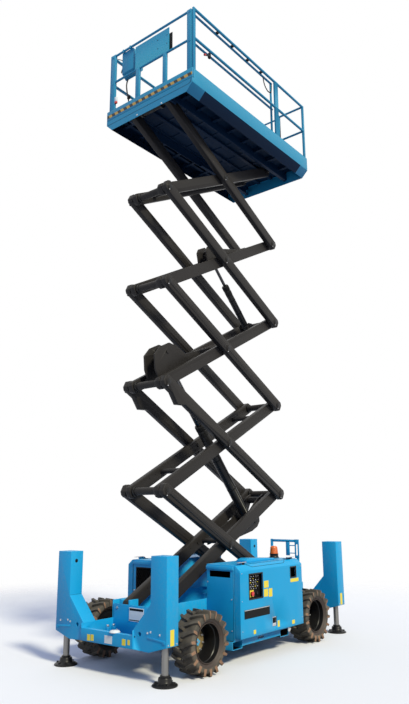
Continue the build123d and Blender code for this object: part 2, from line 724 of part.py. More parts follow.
ext_rail_y = 722
ext_rail_top = rail_top - 62
ext_rail_mid = rail_mid - 62
ext_tube = 16
ext_front_x = 1292
with BuildPart() as extension_rail:
    for side, _ in SIDES:
        y = side * ext_rail_y
        for z in (ext_rail_top, ext_rail_mid):
            rod(((ext_front_x + ext_x[0]) / 2, y, z), ext_tube, ext_front_x - ext_x[0], "x")
        for x in (ext_front_x - 22, ext_x[0] + 20):
            block(
                (x - 16, x + 16), mirrored((ext_rail_y - 14, ext_rail_y + 5), side),
                (ext_floor[1], rail_top if x > 0 else ext_rail_top + ext_tube),
            )
    for z in (rail_top - 16, rail_mid - 6):
        rod((ext_front_x - 22, 0, z), ext_tube, 2 * ext_rail_y, "y")
    for y in (-250, 265):
        block((ext_front_x - 38, ext_front_x - 6), (y - 14, y + 14), (ext_floor[1], rail_mid))
    block((ext_front_x - 30, ext_front_x - 20), (-290, 350), (rail_mid, rail_top - 70))
keep(extension_rail, "extension_rail")

with BuildPart() as control_box:
    profile_y(
        [
            (ext_front_x - 36, rail_top - 30), (ext_front_x - 36, rail_mid + 80), (ext_front_x - 120, rail_mid + 10),
            (ext_front_x - 240, rail_mid + 160), (ext_front_x - 240, rail_top - 60),
        ],
        (-640, -380),
    )
    # clamps round the extension's top rail
    for y in (-590, -430):
        block((ext_front_x - 42, ext_front_x - 4), (y - 15, y + 15), (rail_top - 44, rail_top + 4))
        rod((ext_front_x - 22, y, rail_top - 16), ext_tube + running_gap, 60, "y", mode=Mode.SUBTRACT)
keep(control_box, "platform_controls")
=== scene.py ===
"""Finish of a rough-terrain scissor lift: paint, tyres, panels, arms and the small fittings."""

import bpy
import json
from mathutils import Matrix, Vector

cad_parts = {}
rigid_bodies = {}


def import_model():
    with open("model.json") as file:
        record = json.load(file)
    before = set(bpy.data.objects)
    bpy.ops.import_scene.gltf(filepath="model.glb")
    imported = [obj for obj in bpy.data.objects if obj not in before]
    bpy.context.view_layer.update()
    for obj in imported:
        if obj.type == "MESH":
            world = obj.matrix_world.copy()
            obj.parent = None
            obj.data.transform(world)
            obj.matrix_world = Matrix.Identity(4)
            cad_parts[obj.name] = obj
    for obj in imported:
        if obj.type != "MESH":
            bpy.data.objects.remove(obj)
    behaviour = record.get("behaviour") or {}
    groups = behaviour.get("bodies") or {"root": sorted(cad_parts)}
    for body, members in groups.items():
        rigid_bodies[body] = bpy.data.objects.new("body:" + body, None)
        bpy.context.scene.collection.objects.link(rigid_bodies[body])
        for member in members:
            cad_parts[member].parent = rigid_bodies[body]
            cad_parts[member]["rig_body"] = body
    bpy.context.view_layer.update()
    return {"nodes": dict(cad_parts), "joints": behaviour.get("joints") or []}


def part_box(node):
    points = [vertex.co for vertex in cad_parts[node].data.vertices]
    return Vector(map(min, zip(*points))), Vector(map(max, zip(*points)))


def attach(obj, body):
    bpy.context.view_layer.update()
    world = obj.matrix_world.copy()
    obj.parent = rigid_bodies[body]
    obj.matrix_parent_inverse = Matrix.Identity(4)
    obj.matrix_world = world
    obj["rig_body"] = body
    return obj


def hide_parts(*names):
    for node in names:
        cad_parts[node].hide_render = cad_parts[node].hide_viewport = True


bl_info = {
    "name": "Scissor Lift Finish",
    "version": (1, 0, 0),
    "blender": (4, 5, 0),
    "location": "3D View > Sidebar > Scissor Lift",
    "description": "Dresses the frame of a rough-terrain scissor lift with its panels, paint and fittings",
    "category": "Object",
}

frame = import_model()

import json
from math import cos, pi, radians, sin

import bmesh
import bpy
from bpy.props import FloatProperty, FloatVectorProperty, IntProperty, PointerProperty
from mathutils import Matrix, Vector

JOINTS = {joint["name"]: joint for joint in frame["joints"]}
BODY_OF = {node: obj["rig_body"] for node, obj in frame["nodes"].items()}


def middle(node):
    """Centre of a node's box."""
    low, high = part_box(node)
    return (low + high) / 2


# ------------------------------------------------------------------ places on the frame
AXLE_MIDDLE = (middle("front_axle").x + middle("rear_axle").x) / 2
FRONT_PIN = Vector(JOINTS["lift"]["pos_m"])
LEVEL_CENTRE = Vector(JOINTS["outer_arms_1_pivot"]["pos_m"])
HALF_ARM = LEVEL_CENTRE - FRONT_PIN
ARM_LENGTH = 2 * HALF_ARM.length
LEVEL_RISE = 2 * HALF_ARM.z
LEVELS = 5
SIDES = ((1, "left"), (-1, "right"))
ENDS = ((1, "front"), (-1, "rear"))


def at(x):
    """An X place measured from the middle of the wheelbase."""
    return x + AXLE_MIDDLE


def beside(side, near, far):
    """Two Y places on one side of the machine, the lower one first."""
    return sorted((side * near, side * far))


# ------------------------------------------------------------------------ settings
class LiftColours(bpy.types.PropertyGroup):
    """Colours of the finishes."""

    body_blue: FloatVectorProperty(
        name="Body blue", description="Paint of the chassis, cabinets and platform",
        subtype="COLOR", size=3, min=0, max=1, default=(0.006, 0.315, 0.63),
    )
    platform_blue: FloatVectorProperty(
        name="Platform blue", description="Duller paint of the platform and its rails",
        subtype="COLOR", size=3, min=0, max=1, default=(0.016, 0.235, 0.40),
    )
    # painted shade: the platform's blue made much darker to stand in for the shade under the platform
    underside_painted_shade: FloatVectorProperty(
        name="Underside blue", description="Painted shade under the platform",
        subtype="COLOR", size=3, min=0, max=1, default=(0.002, 0.016, 0.044),
    )
    arm_charcoal: FloatVectorProperty(
        name="Arm charcoal", description="Paint of the scissor arms",
        subtype="COLOR", size=3, min=0, max=1, default=(0.021, 0.019, 0.0185),
    )
    rubber: FloatVectorProperty(
        name="Rubber", description="Tread and sidewall of the tyres",
        subtype="COLOR", size=3, min=0, max=1, default=(0.052, 0.046, 0.038),
    )
    worn_rubber: FloatVectorProperty(
        name="Worn rubber", description="Dusty ends of the tread lugs",
        subtype="COLOR", size=3, min=0, max=1, default=(0.235, 0.135, 0.085),
    )
    hub_ochre: FloatVectorProperty(
        name="Hub ochre", description="Primer on the wheel hubs",
        subtype="COLOR", size=3, min=0, max=1, default=(0.21, 0.15, 0.065),
    )
    stripe_ochre: FloatVectorProperty(
        name="Stripe ochre", description="Light half of the hazard stripe",
        subtype="COLOR", size=3, min=0, max=1, default=(0.52, 0.31, 0.06),
    )
    patch_yellow: FloatVectorProperty(
        name="Patch yellow", description="Blank yellow patches on the panels",
        subtype="COLOR", size=3, min=0, max=1, default=(0.78, 0.62, 0.05),
    )
    lens_orange: FloatVectorProperty(
        name="Lens orange", description="Lens of the beacon",
        subtype="COLOR", size=3, min=0, max=1, default=(0.85, 0.16, 0.01),
    )


class LiftSizes(bpy.types.PropertyGroup):
    """Sizes of what the finish adds."""

    sheet_edge: FloatProperty(
        name="Sheet edge", description="Rounding of the chassis' and outriggers' sheet edges",
        unit="LENGTH", min=0.0005, max=0.01, default=0.003,
    )
    bolt_radius: FloatProperty(
        name="Bolt radius", description="Half the width of a bolt head",
        unit="LENGTH", min=0.004, max=0.03, default=0.012,
    )
    stripe_pitch: FloatProperty(
        name="Stripe pitch", description="Length of one dark and one light stripe together",
        unit="LENGTH", min=0.03, max=0.4, default=0.118,
    )
    lug_count: IntProperty(
        name="Lugs", description="Tread lugs on each half of a tyre", min=8, max=40, default=18,
    )


def colours():
    """The colours set in the panel."""
    return bpy.context.scene.lift_colours


def sizes():
    """The sizes set in the panel."""
    return bpy.context.scene.lift_sizes


# --------------------------------------------------------------------- node groups
def new_group(name, inputs, outputs):
    """An empty shader group with its sockets."""
    tree = bpy.data.node_groups.new(name, "ShaderNodeTree")
    for label, kind, value in inputs:
        socket = tree.interface.new_socket(label, in_out="INPUT", socket_type=kind)
        socket.default_value = value
    for label, kind in outputs:
        tree.interface.new_socket(label, in_out="OUTPUT", socket_type=kind)
    start = tree.nodes.new("NodeGroupInput")
    end = tree.nodes.new("NodeGroupOutput")
    return tree, start, end


def maths(tree, operation, first, second, clamp=False):
    """A Math node; either value may be a socket or a number."""
    node = tree.nodes.new("ShaderNodeMath")
    node.operation = operation
    node.use_clamp = clamp
    for socket, value in zip(node.inputs, (first, second)):
        if isinstance(value, bpy.types.NodeSocket):
            tree.links.new(value, socket)
        else:
            socket.default_value = value
    return node.outputs[0]


def ramp(tree, value, low, high):
    """0 below low and 1 above high, smooth between them."""
    node = tree.nodes.new("ShaderNodeMapRange")
    node.interpolation_type = "SMOOTHSTEP"
    tree.links.new(value, node.inputs["Value"])
    for label, limit in (("From Min", low), ("From Max", high)):
        if isinstance(limit, bpy.types.NodeSocket):
            tree.links.new(limit, node.inputs[label])
        else:
            node.inputs[label].default_value = limit
    return node.outputs["Result"]


def noise(tree, scale, detail, stretch=(1, 1, 1)):
    """Noise in object space, stretched along the axes; scale may be a socket."""
    place = tree.nodes.new("ShaderNodeTexCoord")
    mapping = tree.nodes.new("ShaderNodeMapping")
    mapping.inputs["Scale"].default_value = stretch
    tree.links.new(place.outputs["Object"], mapping.inputs["Vector"])
    texture = tree.nodes.new("ShaderNodeTexNoise")
    texture.inputs["Detail"].default_value = detail
    tree.links.new(mapping.outputs["Vector"], texture.inputs["Vector"])
    if isinstance(scale, bpy.types.NodeSocket):
        tree.links.new(scale, texture.inputs["Scale"])
    else:
        texture.inputs["Scale"].default_value = scale
    return texture.outputs["Fac"]


def build_mottle_group():
    """Slow patches and fine grain: a tone value and a height."""
    tree, start, end = new_group(
        "mottle",
        [("Patch Scale", "NodeSocketFloat", 2.0), ("Grain Scale", "NodeSocketFloat", 180.0),
         ("Spread", "NodeSocketFloat", 0.1)],
        [("Tone", "NodeSocketFloat"), ("Grain", "NodeSocketFloat")],
    )
    patches = noise(tree, start.outputs["Patch Scale"], 4)
    grain = noise(tree, start.outputs["Grain Scale"], 2)
    lifted = maths(tree, "SUBTRACT", patches, 0.5)
    spread = maths(tree, "MULTIPLY", lifted, start.outputs["Spread"])
    tree.links.new(maths(tree, "ADD", spread, 1.0), end.inputs["Tone"])
    tree.links.new(grain, end.inputs["Grain"])
    return tree


def build_dust_group():
    """A mask of dust that is thickest low on the machine."""
    tree, start, end = new_group(
        "dust",
        [("Top", "NodeSocketFloat", 0.9), ("Amount", "NodeSocketFloat", 0.3)],
        [("Mask", "NodeSocketFloat")],
    )
    place = tree.nodes.new("ShaderNodeTexCoord")
    split = tree.nodes.new("ShaderNodeSeparateXYZ")
    tree.links.new(place.outputs["Object"], split.inputs["Vector"])
    height = ramp(tree, split.outputs["Z"], 0.0, start.outputs["Top"])
    low = maths(tree, "SUBTRACT", 1.0, height)
    cloud = ramp(tree, noise(tree, 7.0, 6), 0.35, 0.75)
    mask = maths(tree, "MULTIPLY", low, cloud)
    tree.links.new(maths(tree, "MULTIPLY", mask, start.outputs["Amount"], clamp=True), end.inputs["Mask"])
    return tree


def build_wear_group():
    """A mask of rubbed and chipped convex edges."""
    tree, start, end = new_group(
        "edge_wear",
        [("Amount", "NodeSocketFloat", 0.4), ("Scale", "NodeSocketFloat", 30.0)],
        [("Mask", "NodeSocketFloat")],
    )
    geometry = tree.nodes.new("ShaderNodeNewGeometry")
    edge = ramp(tree, geometry.outputs["Pointiness"], 0.53, 0.62)
    chips = ramp(tree, noise(tree, start.outputs["Scale"], 5), 0.42, 0.62)
    mask = maths(tree, "MULTIPLY", edge, chips)
    tree.links.new(maths(tree, "MULTIPLY", mask, start.outputs["Amount"], clamp=True), end.inputs["Mask"])
    return tree


def build_streak_group():
    """Fine lines drawn out along one axis, as brushing or rain runs leave."""
    tree, start, end = new_group(
        "streaks", [("Scale", "NodeSocketFloat", 60.0)], [("Lines", "NodeSocketFloat")],
    )
    tree.links.new(noise(tree, start.outputs["Scale"], 3, (1, 1, 0.03)), end.inputs["Lines"])
    return tree


GROUP_BUILDERS = {
    "mottle": build_mottle_group, "dust": build_dust_group,
    "edge_wear": build_wear_group, "streaks": build_streak_group,
}


def place_group(tree, name, **values):
    """Puts a shader group in a material, made the first time it is asked for."""
    made = bpy.data.node_groups.get(name) or GROUP_BUILDERS[name]()
    node = tree.nodes.new("ShaderNodeGroup")
    node.node_tree = made
    for label, value in values.items():
        node.inputs[label.replace("_", " ").title()].default_value = value
    return node


# ---------------------------------------------------------------------- materials
def mix_colour(tree, mask, first, second):
    """Mixes two colours by a mask; either may be a socket."""
    node = tree.nodes.new("ShaderNodeMix")
    node.data_type = "RGBA"
    tree.links.new(mask, node.inputs[0])
    for socket, value in ((node.inputs[6], first), (node.inputs[7], second)):
        if isinstance(value, bpy.types.NodeSocket):
            tree.links.new(value, socket)
        else:
            socket.default_value = (*value, 1)
    return node.outputs[2]


def toned(tree, colour, tone):
    """A colour multiplied by a value that varies over the surface."""
    node = tree.nodes.new("ShaderNodeVectorMath")
    node.operation = "MULTIPLY"
    node.inputs[0].default_value = colour
    tree.links.new(tone, node.inputs[1])
    return node.outputs[0]


def finish(name, colour, rough=0.5, metallic=0.0, spread=0.12, patches=2.0, grain=160.0, bump=0.02,
           dust=0.0, dust_top=0.9, wear=0.0, wear_colour=(0.35, 0.36, 0.38), coat=0.0, streaks=0.0,
           transmission=0.0, shine=0.5):
    """A material with mottled colour, varied roughness and a fine bump, dust and worn edges."""
    found = bpy.data.materials.get(f"{name}_coat")
    if found:
        return found
    made = bpy.data.materials.new(f"{name}_coat")
    made.use_nodes = True
    tree = made.node_tree
    shader = tree.nodes["Principled BSDF"]
    shader.inputs["Metallic"].default_value = metallic
    shader.inputs["Coat Weight"].default_value = coat
    shader.inputs["Transmission Weight"].default_value = transmission
    shader.inputs["Specular IOR Level"].default_value = shine
    mottle = place_group(tree, "mottle", patch_scale=patches, grain_scale=grain, spread=spread)
    shade = toned(tree, colour, mottle.outputs["Tone"])
    roughness = maths(tree, "MULTIPLY", mottle.outputs["Tone"], rough, clamp=True)
    if streaks:
        lines = place_group(tree, "streaks", scale=90.0).outputs["Lines"]
        darker = tuple(part * (1 - streaks) for part in colour)
        shade = mix_colour(tree, lines, shade, darker)
        roughness = maths(tree, "ADD", roughness, maths(tree, "MULTIPLY", lines, 0.15), clamp=True)
    if wear:
        mask = place_group(tree, "edge_wear", amount=wear).outputs["Mask"]
        shade = mix_colour(tree, mask, shade, wear_colour)
    if dust:
        mask = place_group(tree, "dust", top=dust_top, amount=dust).outputs["Mask"]
        shade = mix_colour(tree, mask, shade, (0.30, 0.25, 0.19))
        roughness = maths(tree, "ADD", roughness, maths(tree, "MULTIPLY", mask, 0.4), clamp=True)
    tree.links.new(shade, shader.inputs["Base Color"])
    tree.links.new(roughness, shader.inputs["Roughness"])
    relief = tree.nodes.new("ShaderNodeBump")
    relief.inputs["Strength"].default_value = 0.25
    relief.inputs["Distance"].default_value = bump / 50
    tree.links.new(mottle.outputs["Grain"], relief.inputs["Height"])
    tree.links.new(relief.outputs["Normal"], shader.inputs["Normal"])
    return made


def body_paint():
    return finish("body_paint", colours().body_blue, rough=0.42, spread=0.10, patches=1.6, coat=0.04,
                  dust=0.16, dust_top=0.6, wear=0.2, wear_colour=(0.20, 0.30, 0.36), shine=0.25)


def platform_paint():
    return finish("platform_paint", colours().platform_blue, rough=0.45, spread=0.10, patches=1.6, shine=0.3)


# material of painted shade: the darkened underside colour, used under the platform deck
def underside_shade_paint():
    return finish("underside_shade_paint", colours().underside_painted_shade, rough=0.6, spread=0.5, patches=1.2, shine=0.12)


def arm_paint():
    return finish("arm_paint", colours().arm_charcoal, rough=0.46, spread=0.3, patches=2.5,
                  wear=0.08, wear_colour=(0.06, 0.055, 0.05), shine=0.16)


def gloss_black():
    return finish("gloss_black", (0.009, 0.009, 0.010), rough=0.34, spread=0.2, shine=0.25)


def matt_black():
    return finish("matt_black", (0.009, 0.009, 0.010), rough=0.6, spread=0.4, patches=8, shine=0.1)


def cast_iron():
    return finish("cast_iron", (0.028, 0.027, 0.028), rough=0.62, spread=0.5, patches=9, grain=320, bump=0.06,
                  dust=0.5, dust_top=0.6, shine=0.2)


def chrome():
    return finish("chrome", (0.10, 0.10, 0.105), rough=0.2, metallic=1.0, spread=0.05, streaks=0.1)


def leg_steel():
    return finish("leg_steel", (0.27, 0.265, 0.26), rough=0.36, metallic=0.9, spread=0.2, streaks=0.35,
                  dust=0.25, dust_top=0.3)


def bright_steel():
    return finish("bright_steel", (0.62, 0.62, 0.64), rough=0.3, metallic=1.0, spread=0.15, patches=12)


def rubber():
    return finish("rubber", colours().rubber, rough=0.78, spread=0.5, patches=7, grain=240, bump=0.08,
                  dust=0.55, dust_top=0.9)


def worn_rubber():
    return finish("worn_rubber", colours().worn_rubber, rough=0.85, spread=0.75, patches=14, grain=260,
                  bump=0.1)


def hub_paint():
    return finish("hub_paint", colours().hub_ochre, rough=0.6, spread=0.6, patches=16, bump=0.05,
                  wear=0.5, wear_colour=(0.12, 0.08, 0.05))


def rim_flange():
    return finish("rim_flange", (0.036, 0.023, 0.018), rough=0.6, spread=0.6, patches=9, bump=0.04)


def deck_plate():
    """Chequer plate: crossed raised bars on a dull grey sheet."""
    found = bpy.data.materials.get("deck_plate_coat")
    if found:
        return found
    made = finish("deck_plate", (0.17, 0.19, 0.20), rough=0.5, metallic=0.4, spread=0.35, patches=3)
    tree = made.node_tree
    place = tree.nodes.new("ShaderNodeTexCoord")
    waves = []
    for turn in (45, -45):
        mapping = tree.nodes.new("ShaderNodeMapping")
        mapping.inputs["Rotation"].default_value = (0, 0, radians(turn))
        tree.links.new(place.outputs["Object"], mapping.inputs["Vector"])
        wave = tree.nodes.new("ShaderNodeTexWave")
        wave.inputs["Scale"].default_value = 11.0
        tree.links.new(mapping.outputs["Vector"], wave.inputs["Vector"])
        waves.append(ramp(tree, wave.outputs["Fac"], 0.6, 0.9))
    raised = maths(tree, "ADD", *waves, clamp=True)
    relief = tree.nodes["Bump"]
    second = tree.nodes.new("ShaderNodeBump")
    second.inputs["Strength"].default_value = 0.7
    second.inputs["Distance"].default_value = 0.0015
    tree.links.new(raised, second.inputs["Height"])
    tree.links.new(relief.outputs["Normal"], second.inputs["Normal"])
    tree.links.new(second.outputs["Normal"], tree.nodes["Principled BSDF"].inputs["Normal"])
    return made


def hazard_stripe():
    """Slanted dark and ochre bars along the platform's front board."""
    found = bpy.data.materials.get("hazard_stripe_coat")
    if found:
        return found
    made = finish("hazard_stripe", colours().stripe_ochre, rough=0.5, spread=0.25, patches=10)
    tree = made.node_tree
    place = tree.nodes.new("ShaderNodeTexCoord")
    split = tree.nodes.new("ShaderNodeSeparateXYZ")
    tree.links.new(place.outputs["Object"], split.inputs["Vector"])
    slanted = maths(tree, "ADD", split.outputs["Y"], maths(tree, "MULTIPLY", split.outputs["Z"], 0.45))
    turns = maths(tree, "FRACT", maths(tree, "DIVIDE", slanted, sizes().stripe_pitch), 0)
    dark = maths(tree, "GREATER_THAN", turns, 0.5)
    shader = tree.nodes["Principled BSDF"]
    light = shader.inputs["Base Color"].links[0].from_socket
    tree.links.new(mix_colour(tree, dark, light, (0.012, 0.013, 0.014)), shader.inputs["Base Color"])
    return made


def patch_yellow():
    return finish("patch_yellow", colours().patch_yellow, rough=0.5, spread=0.12, patches=20)


def patch_white():
    return finish("patch_white", (0.66, 0.69, 0.72), rough=0.45, spread=0.1, patches=20)


def lens_orange():
    return finish("lens_orange", colours().lens_orange, rough=0.22, spread=0.15, patches=25, coat=0.5,
                  transmission=0.25)


def red_plastic():
    return finish("red_plastic", (0.62, 0.02, 0.012), rough=0.3, spread=0.1, coat=0.3)


def light_marks():
    return finish("light_marks", (0.45, 0.47, 0.5), rough=0.5, spread=0.2, patches=30)


def hub_plate_blue():
    return finish("hub_plate_blue", (0.06, 0.42, 0.72), rough=0.4, spread=0.3, patches=20, wear=0.4)


# --------------------------------------------------------------------------- forms
def block(low, high, edge=0.0, segments=2):
    """A block between two corners, with rounded edges."""
    bm = bmesh.new()
    bmesh.ops.create_cube(bm, size=1.0)
    low, high = Vector(low), Vector(high)
    bmesh.ops.scale(bm, vec=high - low, verts=bm.verts)
    bmesh.ops.translate(bm, vec=(low + high) / 2, verts=bm.verts)
    if edge:
        round_edges(bm, bm.edges[:], edge, segments)
    return bm


def round_edges(bm, edges, width, segments=2, clamp=True):
    """Rounds some of a form's edges."""
    bmesh.ops.bevel(
        bm, geom=edges, offset=width, offset_type="OFFSET", affect="EDGES", segments=segments,
        profile=0.5, clamp_overlap=clamp, material=-1,
    )


def bar(start, end, radius, sides=20, edge=0.0, end_radius=None):
    """A round bar, or a cone, between two points."""
    start, end = Vector(start), Vector(end)
    bm = bmesh.new()
    bmesh.ops.create_cone(
        bm, cap_ends=True, segments=sides, radius1=radius,
        radius2=radius if end_radius is None else end_radius, depth=(end - start).length,
    )
    if edge:
        rims = [e for e in bm.edges if any(len(f.verts) > 4 for f in e.link_faces)]
        round_edges(bm, rims, edge)
    turn = (end - start).to_track_quat("Z", "Y").to_matrix().to_4x4()
    bm.transform(Matrix.Translation((start + end) / 2) @ turn)
    return bm


def plate(outline, low, high, across="y", edge=0.0):
    """A flat plate: its outline in the other two axes, extruded along one."""
    order = {
        "x": lambda a, b, c: (c, a, b), "y": lambda a, b, c: (a, c, b), "z": lambda a, b, c: (a, b, c),
    }[across]
    bm = bmesh.new()
    face = bm.faces.new([bm.verts.new(order(a, b, low)) for a, b in outline])
    made = bmesh.ops.extrude_face_region(bm, geom=[face])
    moved = [v for v in made["geom"] if isinstance(v, bmesh.types.BMVert)]
    bmesh.ops.translate(bm, vec=order(0, 0, high - low), verts=moved)
    bmesh.ops.recalc_face_normals(bm, faces=bm.faces)
    if edge:
        round_edges(bm, bm.edges[:], edge)
    return bm


def turned(profile, centre, axis="y", steps=48, closed=False):
    """A turned form: (radius, place along the axis) points spun round the axis."""
    bm = bmesh.new()
    verts = [bm.verts.new((r, 0, h)) for r, h in profile]
    pairs = list(zip(verts, verts[1:]))
    if closed:
        pairs.append((verts[-1], verts[0]))
    edges = [bm.edges.new(pair) for pair in pairs]
    bmesh.ops.spin(
        bm, geom=verts + edges, cent=(0, 0, 0), axis=(0, 0, 1), angle=2 * pi, steps=steps,
        use_merge=True, use_duplicate=False,
    )
    bmesh.ops.remove_doubles(bm, verts=bm.verts, dist=1e-5)
    bmesh.ops.recalc_face_normals(bm, faces=bm.faces)
    turn = {"x": Matrix.Rotation(pi / 2, 4, "Y"), "y": Matrix.Rotation(-pi / 2, 4, "X"), "z": Matrix()}[axis]
    bm.transform(Matrix.Translation(centre) @ turn)
    return bm


def bolt_head(place, axis, radius=None, height=0.009):
    """A hexagon head with a washer, its foot at a place, pointing along an axis."""
    radius = radius or sizes().bolt_radius
    place, axis = Vector(place), Vector(axis).normalized()
    bm = bar(place + axis * 0.003, place + axis * height, radius, sides=6, edge=0.001)
    washer = bar(place - axis * 0.001, place + axis * 0.003, radius * 1.35, sides=16)
    pour(bm, washer)
    return bm


def pour(target, source, tone=None, place=None):
    """Adds one form's mesh to another's, with a finish number and a place."""
    if place:
        source.transform(place)
    if tone is not None:
        for face in source.faces:
            face.material_index = tone
    carrier = bpy.data.meshes.new("carrier")
    source.to_mesh(carrier)
    source.free()
    target.from_mesh(carrier)
    bpy.data.meshes.remove(carrier)


def piece(name, body, finishes, bm, sharp=35):
    """Makes the object of a finished form and lets it ride on its body."""
    mesh = bpy.data.meshes.new(name)
    bm.to_mesh(mesh)
    bm.free()
    for each in finishes:
        mesh.materials.append(each)
    mesh.shade_smooth()
    mesh.set_sharp_from_angle(angle=radians(sharp))
    made = bpy.data.objects.new(name, mesh)
    bpy.context.scene.collection.objects.link(made)
    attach(made, body)
    return made


def stand_in(node, finishes, bm, sharp=35):
    """Makes the piece that is shown in place of a node, on the same body."""
    made = piece(f"{node}_finished", BODY_OF[node], finishes, bm, sharp)
    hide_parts(node)


def everything(bm):
    """All of a form's vertices, edges and faces, as the cutting operators take them."""
    return bm.verts[:] + bm.edges[:] + bm.faces[:]


def merged(node):
    """A copy of a node's mesh as joined, flat faces."""
    bm = bmesh.new()
    bm.from_mesh(frame["nodes"][node].data)
    bmesh.ops.remove_doubles(bm, verts=bm.verts, dist=2e-5)
    bmesh.ops.dissolve_limit(
        bm, angle_limit=radians(0.8), use_dissolve_boundaries=False, verts=bm.verts, edges=bm.edges,
    )
    for face in bm.faces:
        face.material_index = 0
    return bm


def softened(node, width, segments=2, cuts=(), reshape=None):
    """A merged copy with its long sharp edges rounded.

    Before that, reshape moves its vertices and cuts split its faces round their holes.
    """
    bm = merged(node)
    if reshape:
        for vert in bm.verts:
            vert.co = reshape(vert.co.copy())
    for axis, value in cuts:
        normal = Vector([float(axis == each) for each in "xyz"])
        bmesh.ops.bisect_plane(bm, geom=everything(bm), dist=1e-5, plane_co=normal * value, plane_no=normal)
    sharp = []
    for edge in bm.edges:
        if len(edge.link_faces) != 2 or edge.calc_face_angle(0) < radians(28):
            continue
        near = min(other.calc_length() for vert in edge.verts for other in vert.link_edges)
        if near > 2.3 * width:
            sharp.append(edge)
    round_edges(bm, sharp, width, segments, clamp=False)
    return bm


def dressed(node, finishes, width=None, tones=None, extra=None, sharp=35, cuts=(), reshape=None):
    """The piece that stands for a node: its softened copy, its finishes and what is fixed to it."""
    bm = softened(node, width or sizes().sheet_edge, cuts=cuts, reshape=reshape)
    if tones:
        for face in bm.faces:
            face.material_index = tones(face)
    if extra:
        extra(bm)
    stand_in(node, finishes, bm, sharp)


def bolts(bm, places, axis, tone, radius=None):
    """Bolt heads at several places, all pointing one way."""
    for place in places:
        pour(bm, bolt_head(place, axis, radius), tone)


def label(bm, low, high, tone):
    """A thin blank plate or sticker between two corners."""
    pour(bm, block(low, high, 0.0006, 1), tone)


def tube_line(points, radius, sides=12):
    """A bent rigid pipe through a few points, with round corners."""
    data = bpy.data.curves.new("pipe", "CURVE")
    data.dimensions = "3D"
    data.bevel_depth = radius
    data.bevel_resolution = max(1, sides // 4 - 1)
    data.use_fill_caps = True
    spline = data.splines.new("NURBS")
    spline.points.add(len(points) - 1)
    for point, place in zip(spline.points, points):
        point.co = (*place, 1)
    spline.use_endpoint_u = True
    spline.order_u = 3
    data.resolution_u = 8
    holder = bpy.data.objects.new("pipe", data)
    mesh = bpy.data.meshes.new_from_object(holder)
    bm = bmesh.new()
    bm.from_mesh(mesh)
    bmesh.ops.remove_doubles(bm, verts=bm.verts, dist=1e-5)
    bmesh.ops.recalc_face_normals(bm, faces=bm.faces)
    bpy.data.objects.remove(holder)
    bpy.data.curves.remove(data)
    bpy.data.meshes.remove(mesh)
    return bm


def inside_of(low, high, reach=0.012):
    """Tells the faces that look into a box's room from those of its outside."""
    centre = (low + high) / 2

    def looks_in(face):
        return (centre - face.calc_center_median()).dot(face.normal) > reach

    return looks_in


# ----------------------------------------------------------------- the steps of the finish
class LIFT_OT_chassis(bpy.types.Operator):
    """Paints the chassis and fits its blank plate and pin heads"""

    bl_idname = "lift.chassis"
    bl_label = "Chassis"

    def execute(self, context):
        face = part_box("chassis_frame")[1].x

        def fittings(bm):
            label(bm, (face - 0.001, -0.135, 0.474), (face + 0.003, 0.095, 0.620), 1)
            label(bm, (face, -0.126, 0.588), (face + 0.004, 0.086, 0.612), 2)
            label(bm, (face, -0.126, 0.482), (face + 0.004, 0.086, 0.492), 2)
            corners = [(face + 0.003, y, z) for y in (-0.128, 0.088) for z in (0.481, 0.613)]
            bolts(bm, corners, (1, 0, 0), 3, 0.004)
            for side, _ in SIDES:
                place = (FRONT_PIN.x, side * 0.330, FRONT_PIN.z)
                pour(bm, bar(place, (place[0], side * 0.338, place[2]), 0.042, 32, 0.002), 2)
                bolts(bm, [(face, side * 0.33, z) for z in (0.36, 0.60)], (1, 0, 0), 3)

        dressed("chassis_frame", [body_paint(), patch_white(), matt_black(), bright_steel()], extra=fittings)
        return {"FINISHED"}


TOWER_INNER_Y = 0.6285
TOWER_OUTER_Y = 0.852
TOWER_SEAM_Z = 0.760
TOWER_HOLE_Z = 1.130
TRAY_FLOOR = 0.325
LEVEL_PROFILE = ((0, 0), (0.058, 0), (0.058, 0.006), (0.052, 0.014), (0.046, 0.020), (0, 0.022))
LIP_HALF_WIDTH = 0.4005
LIP_TOPS = (0.46, 0.47)        # heights of the tray's end lip where it is drawn down
LIP_DROP = 0.030
NEAR = 6e-4                    # how close a vertex has to be to a height to count as on it


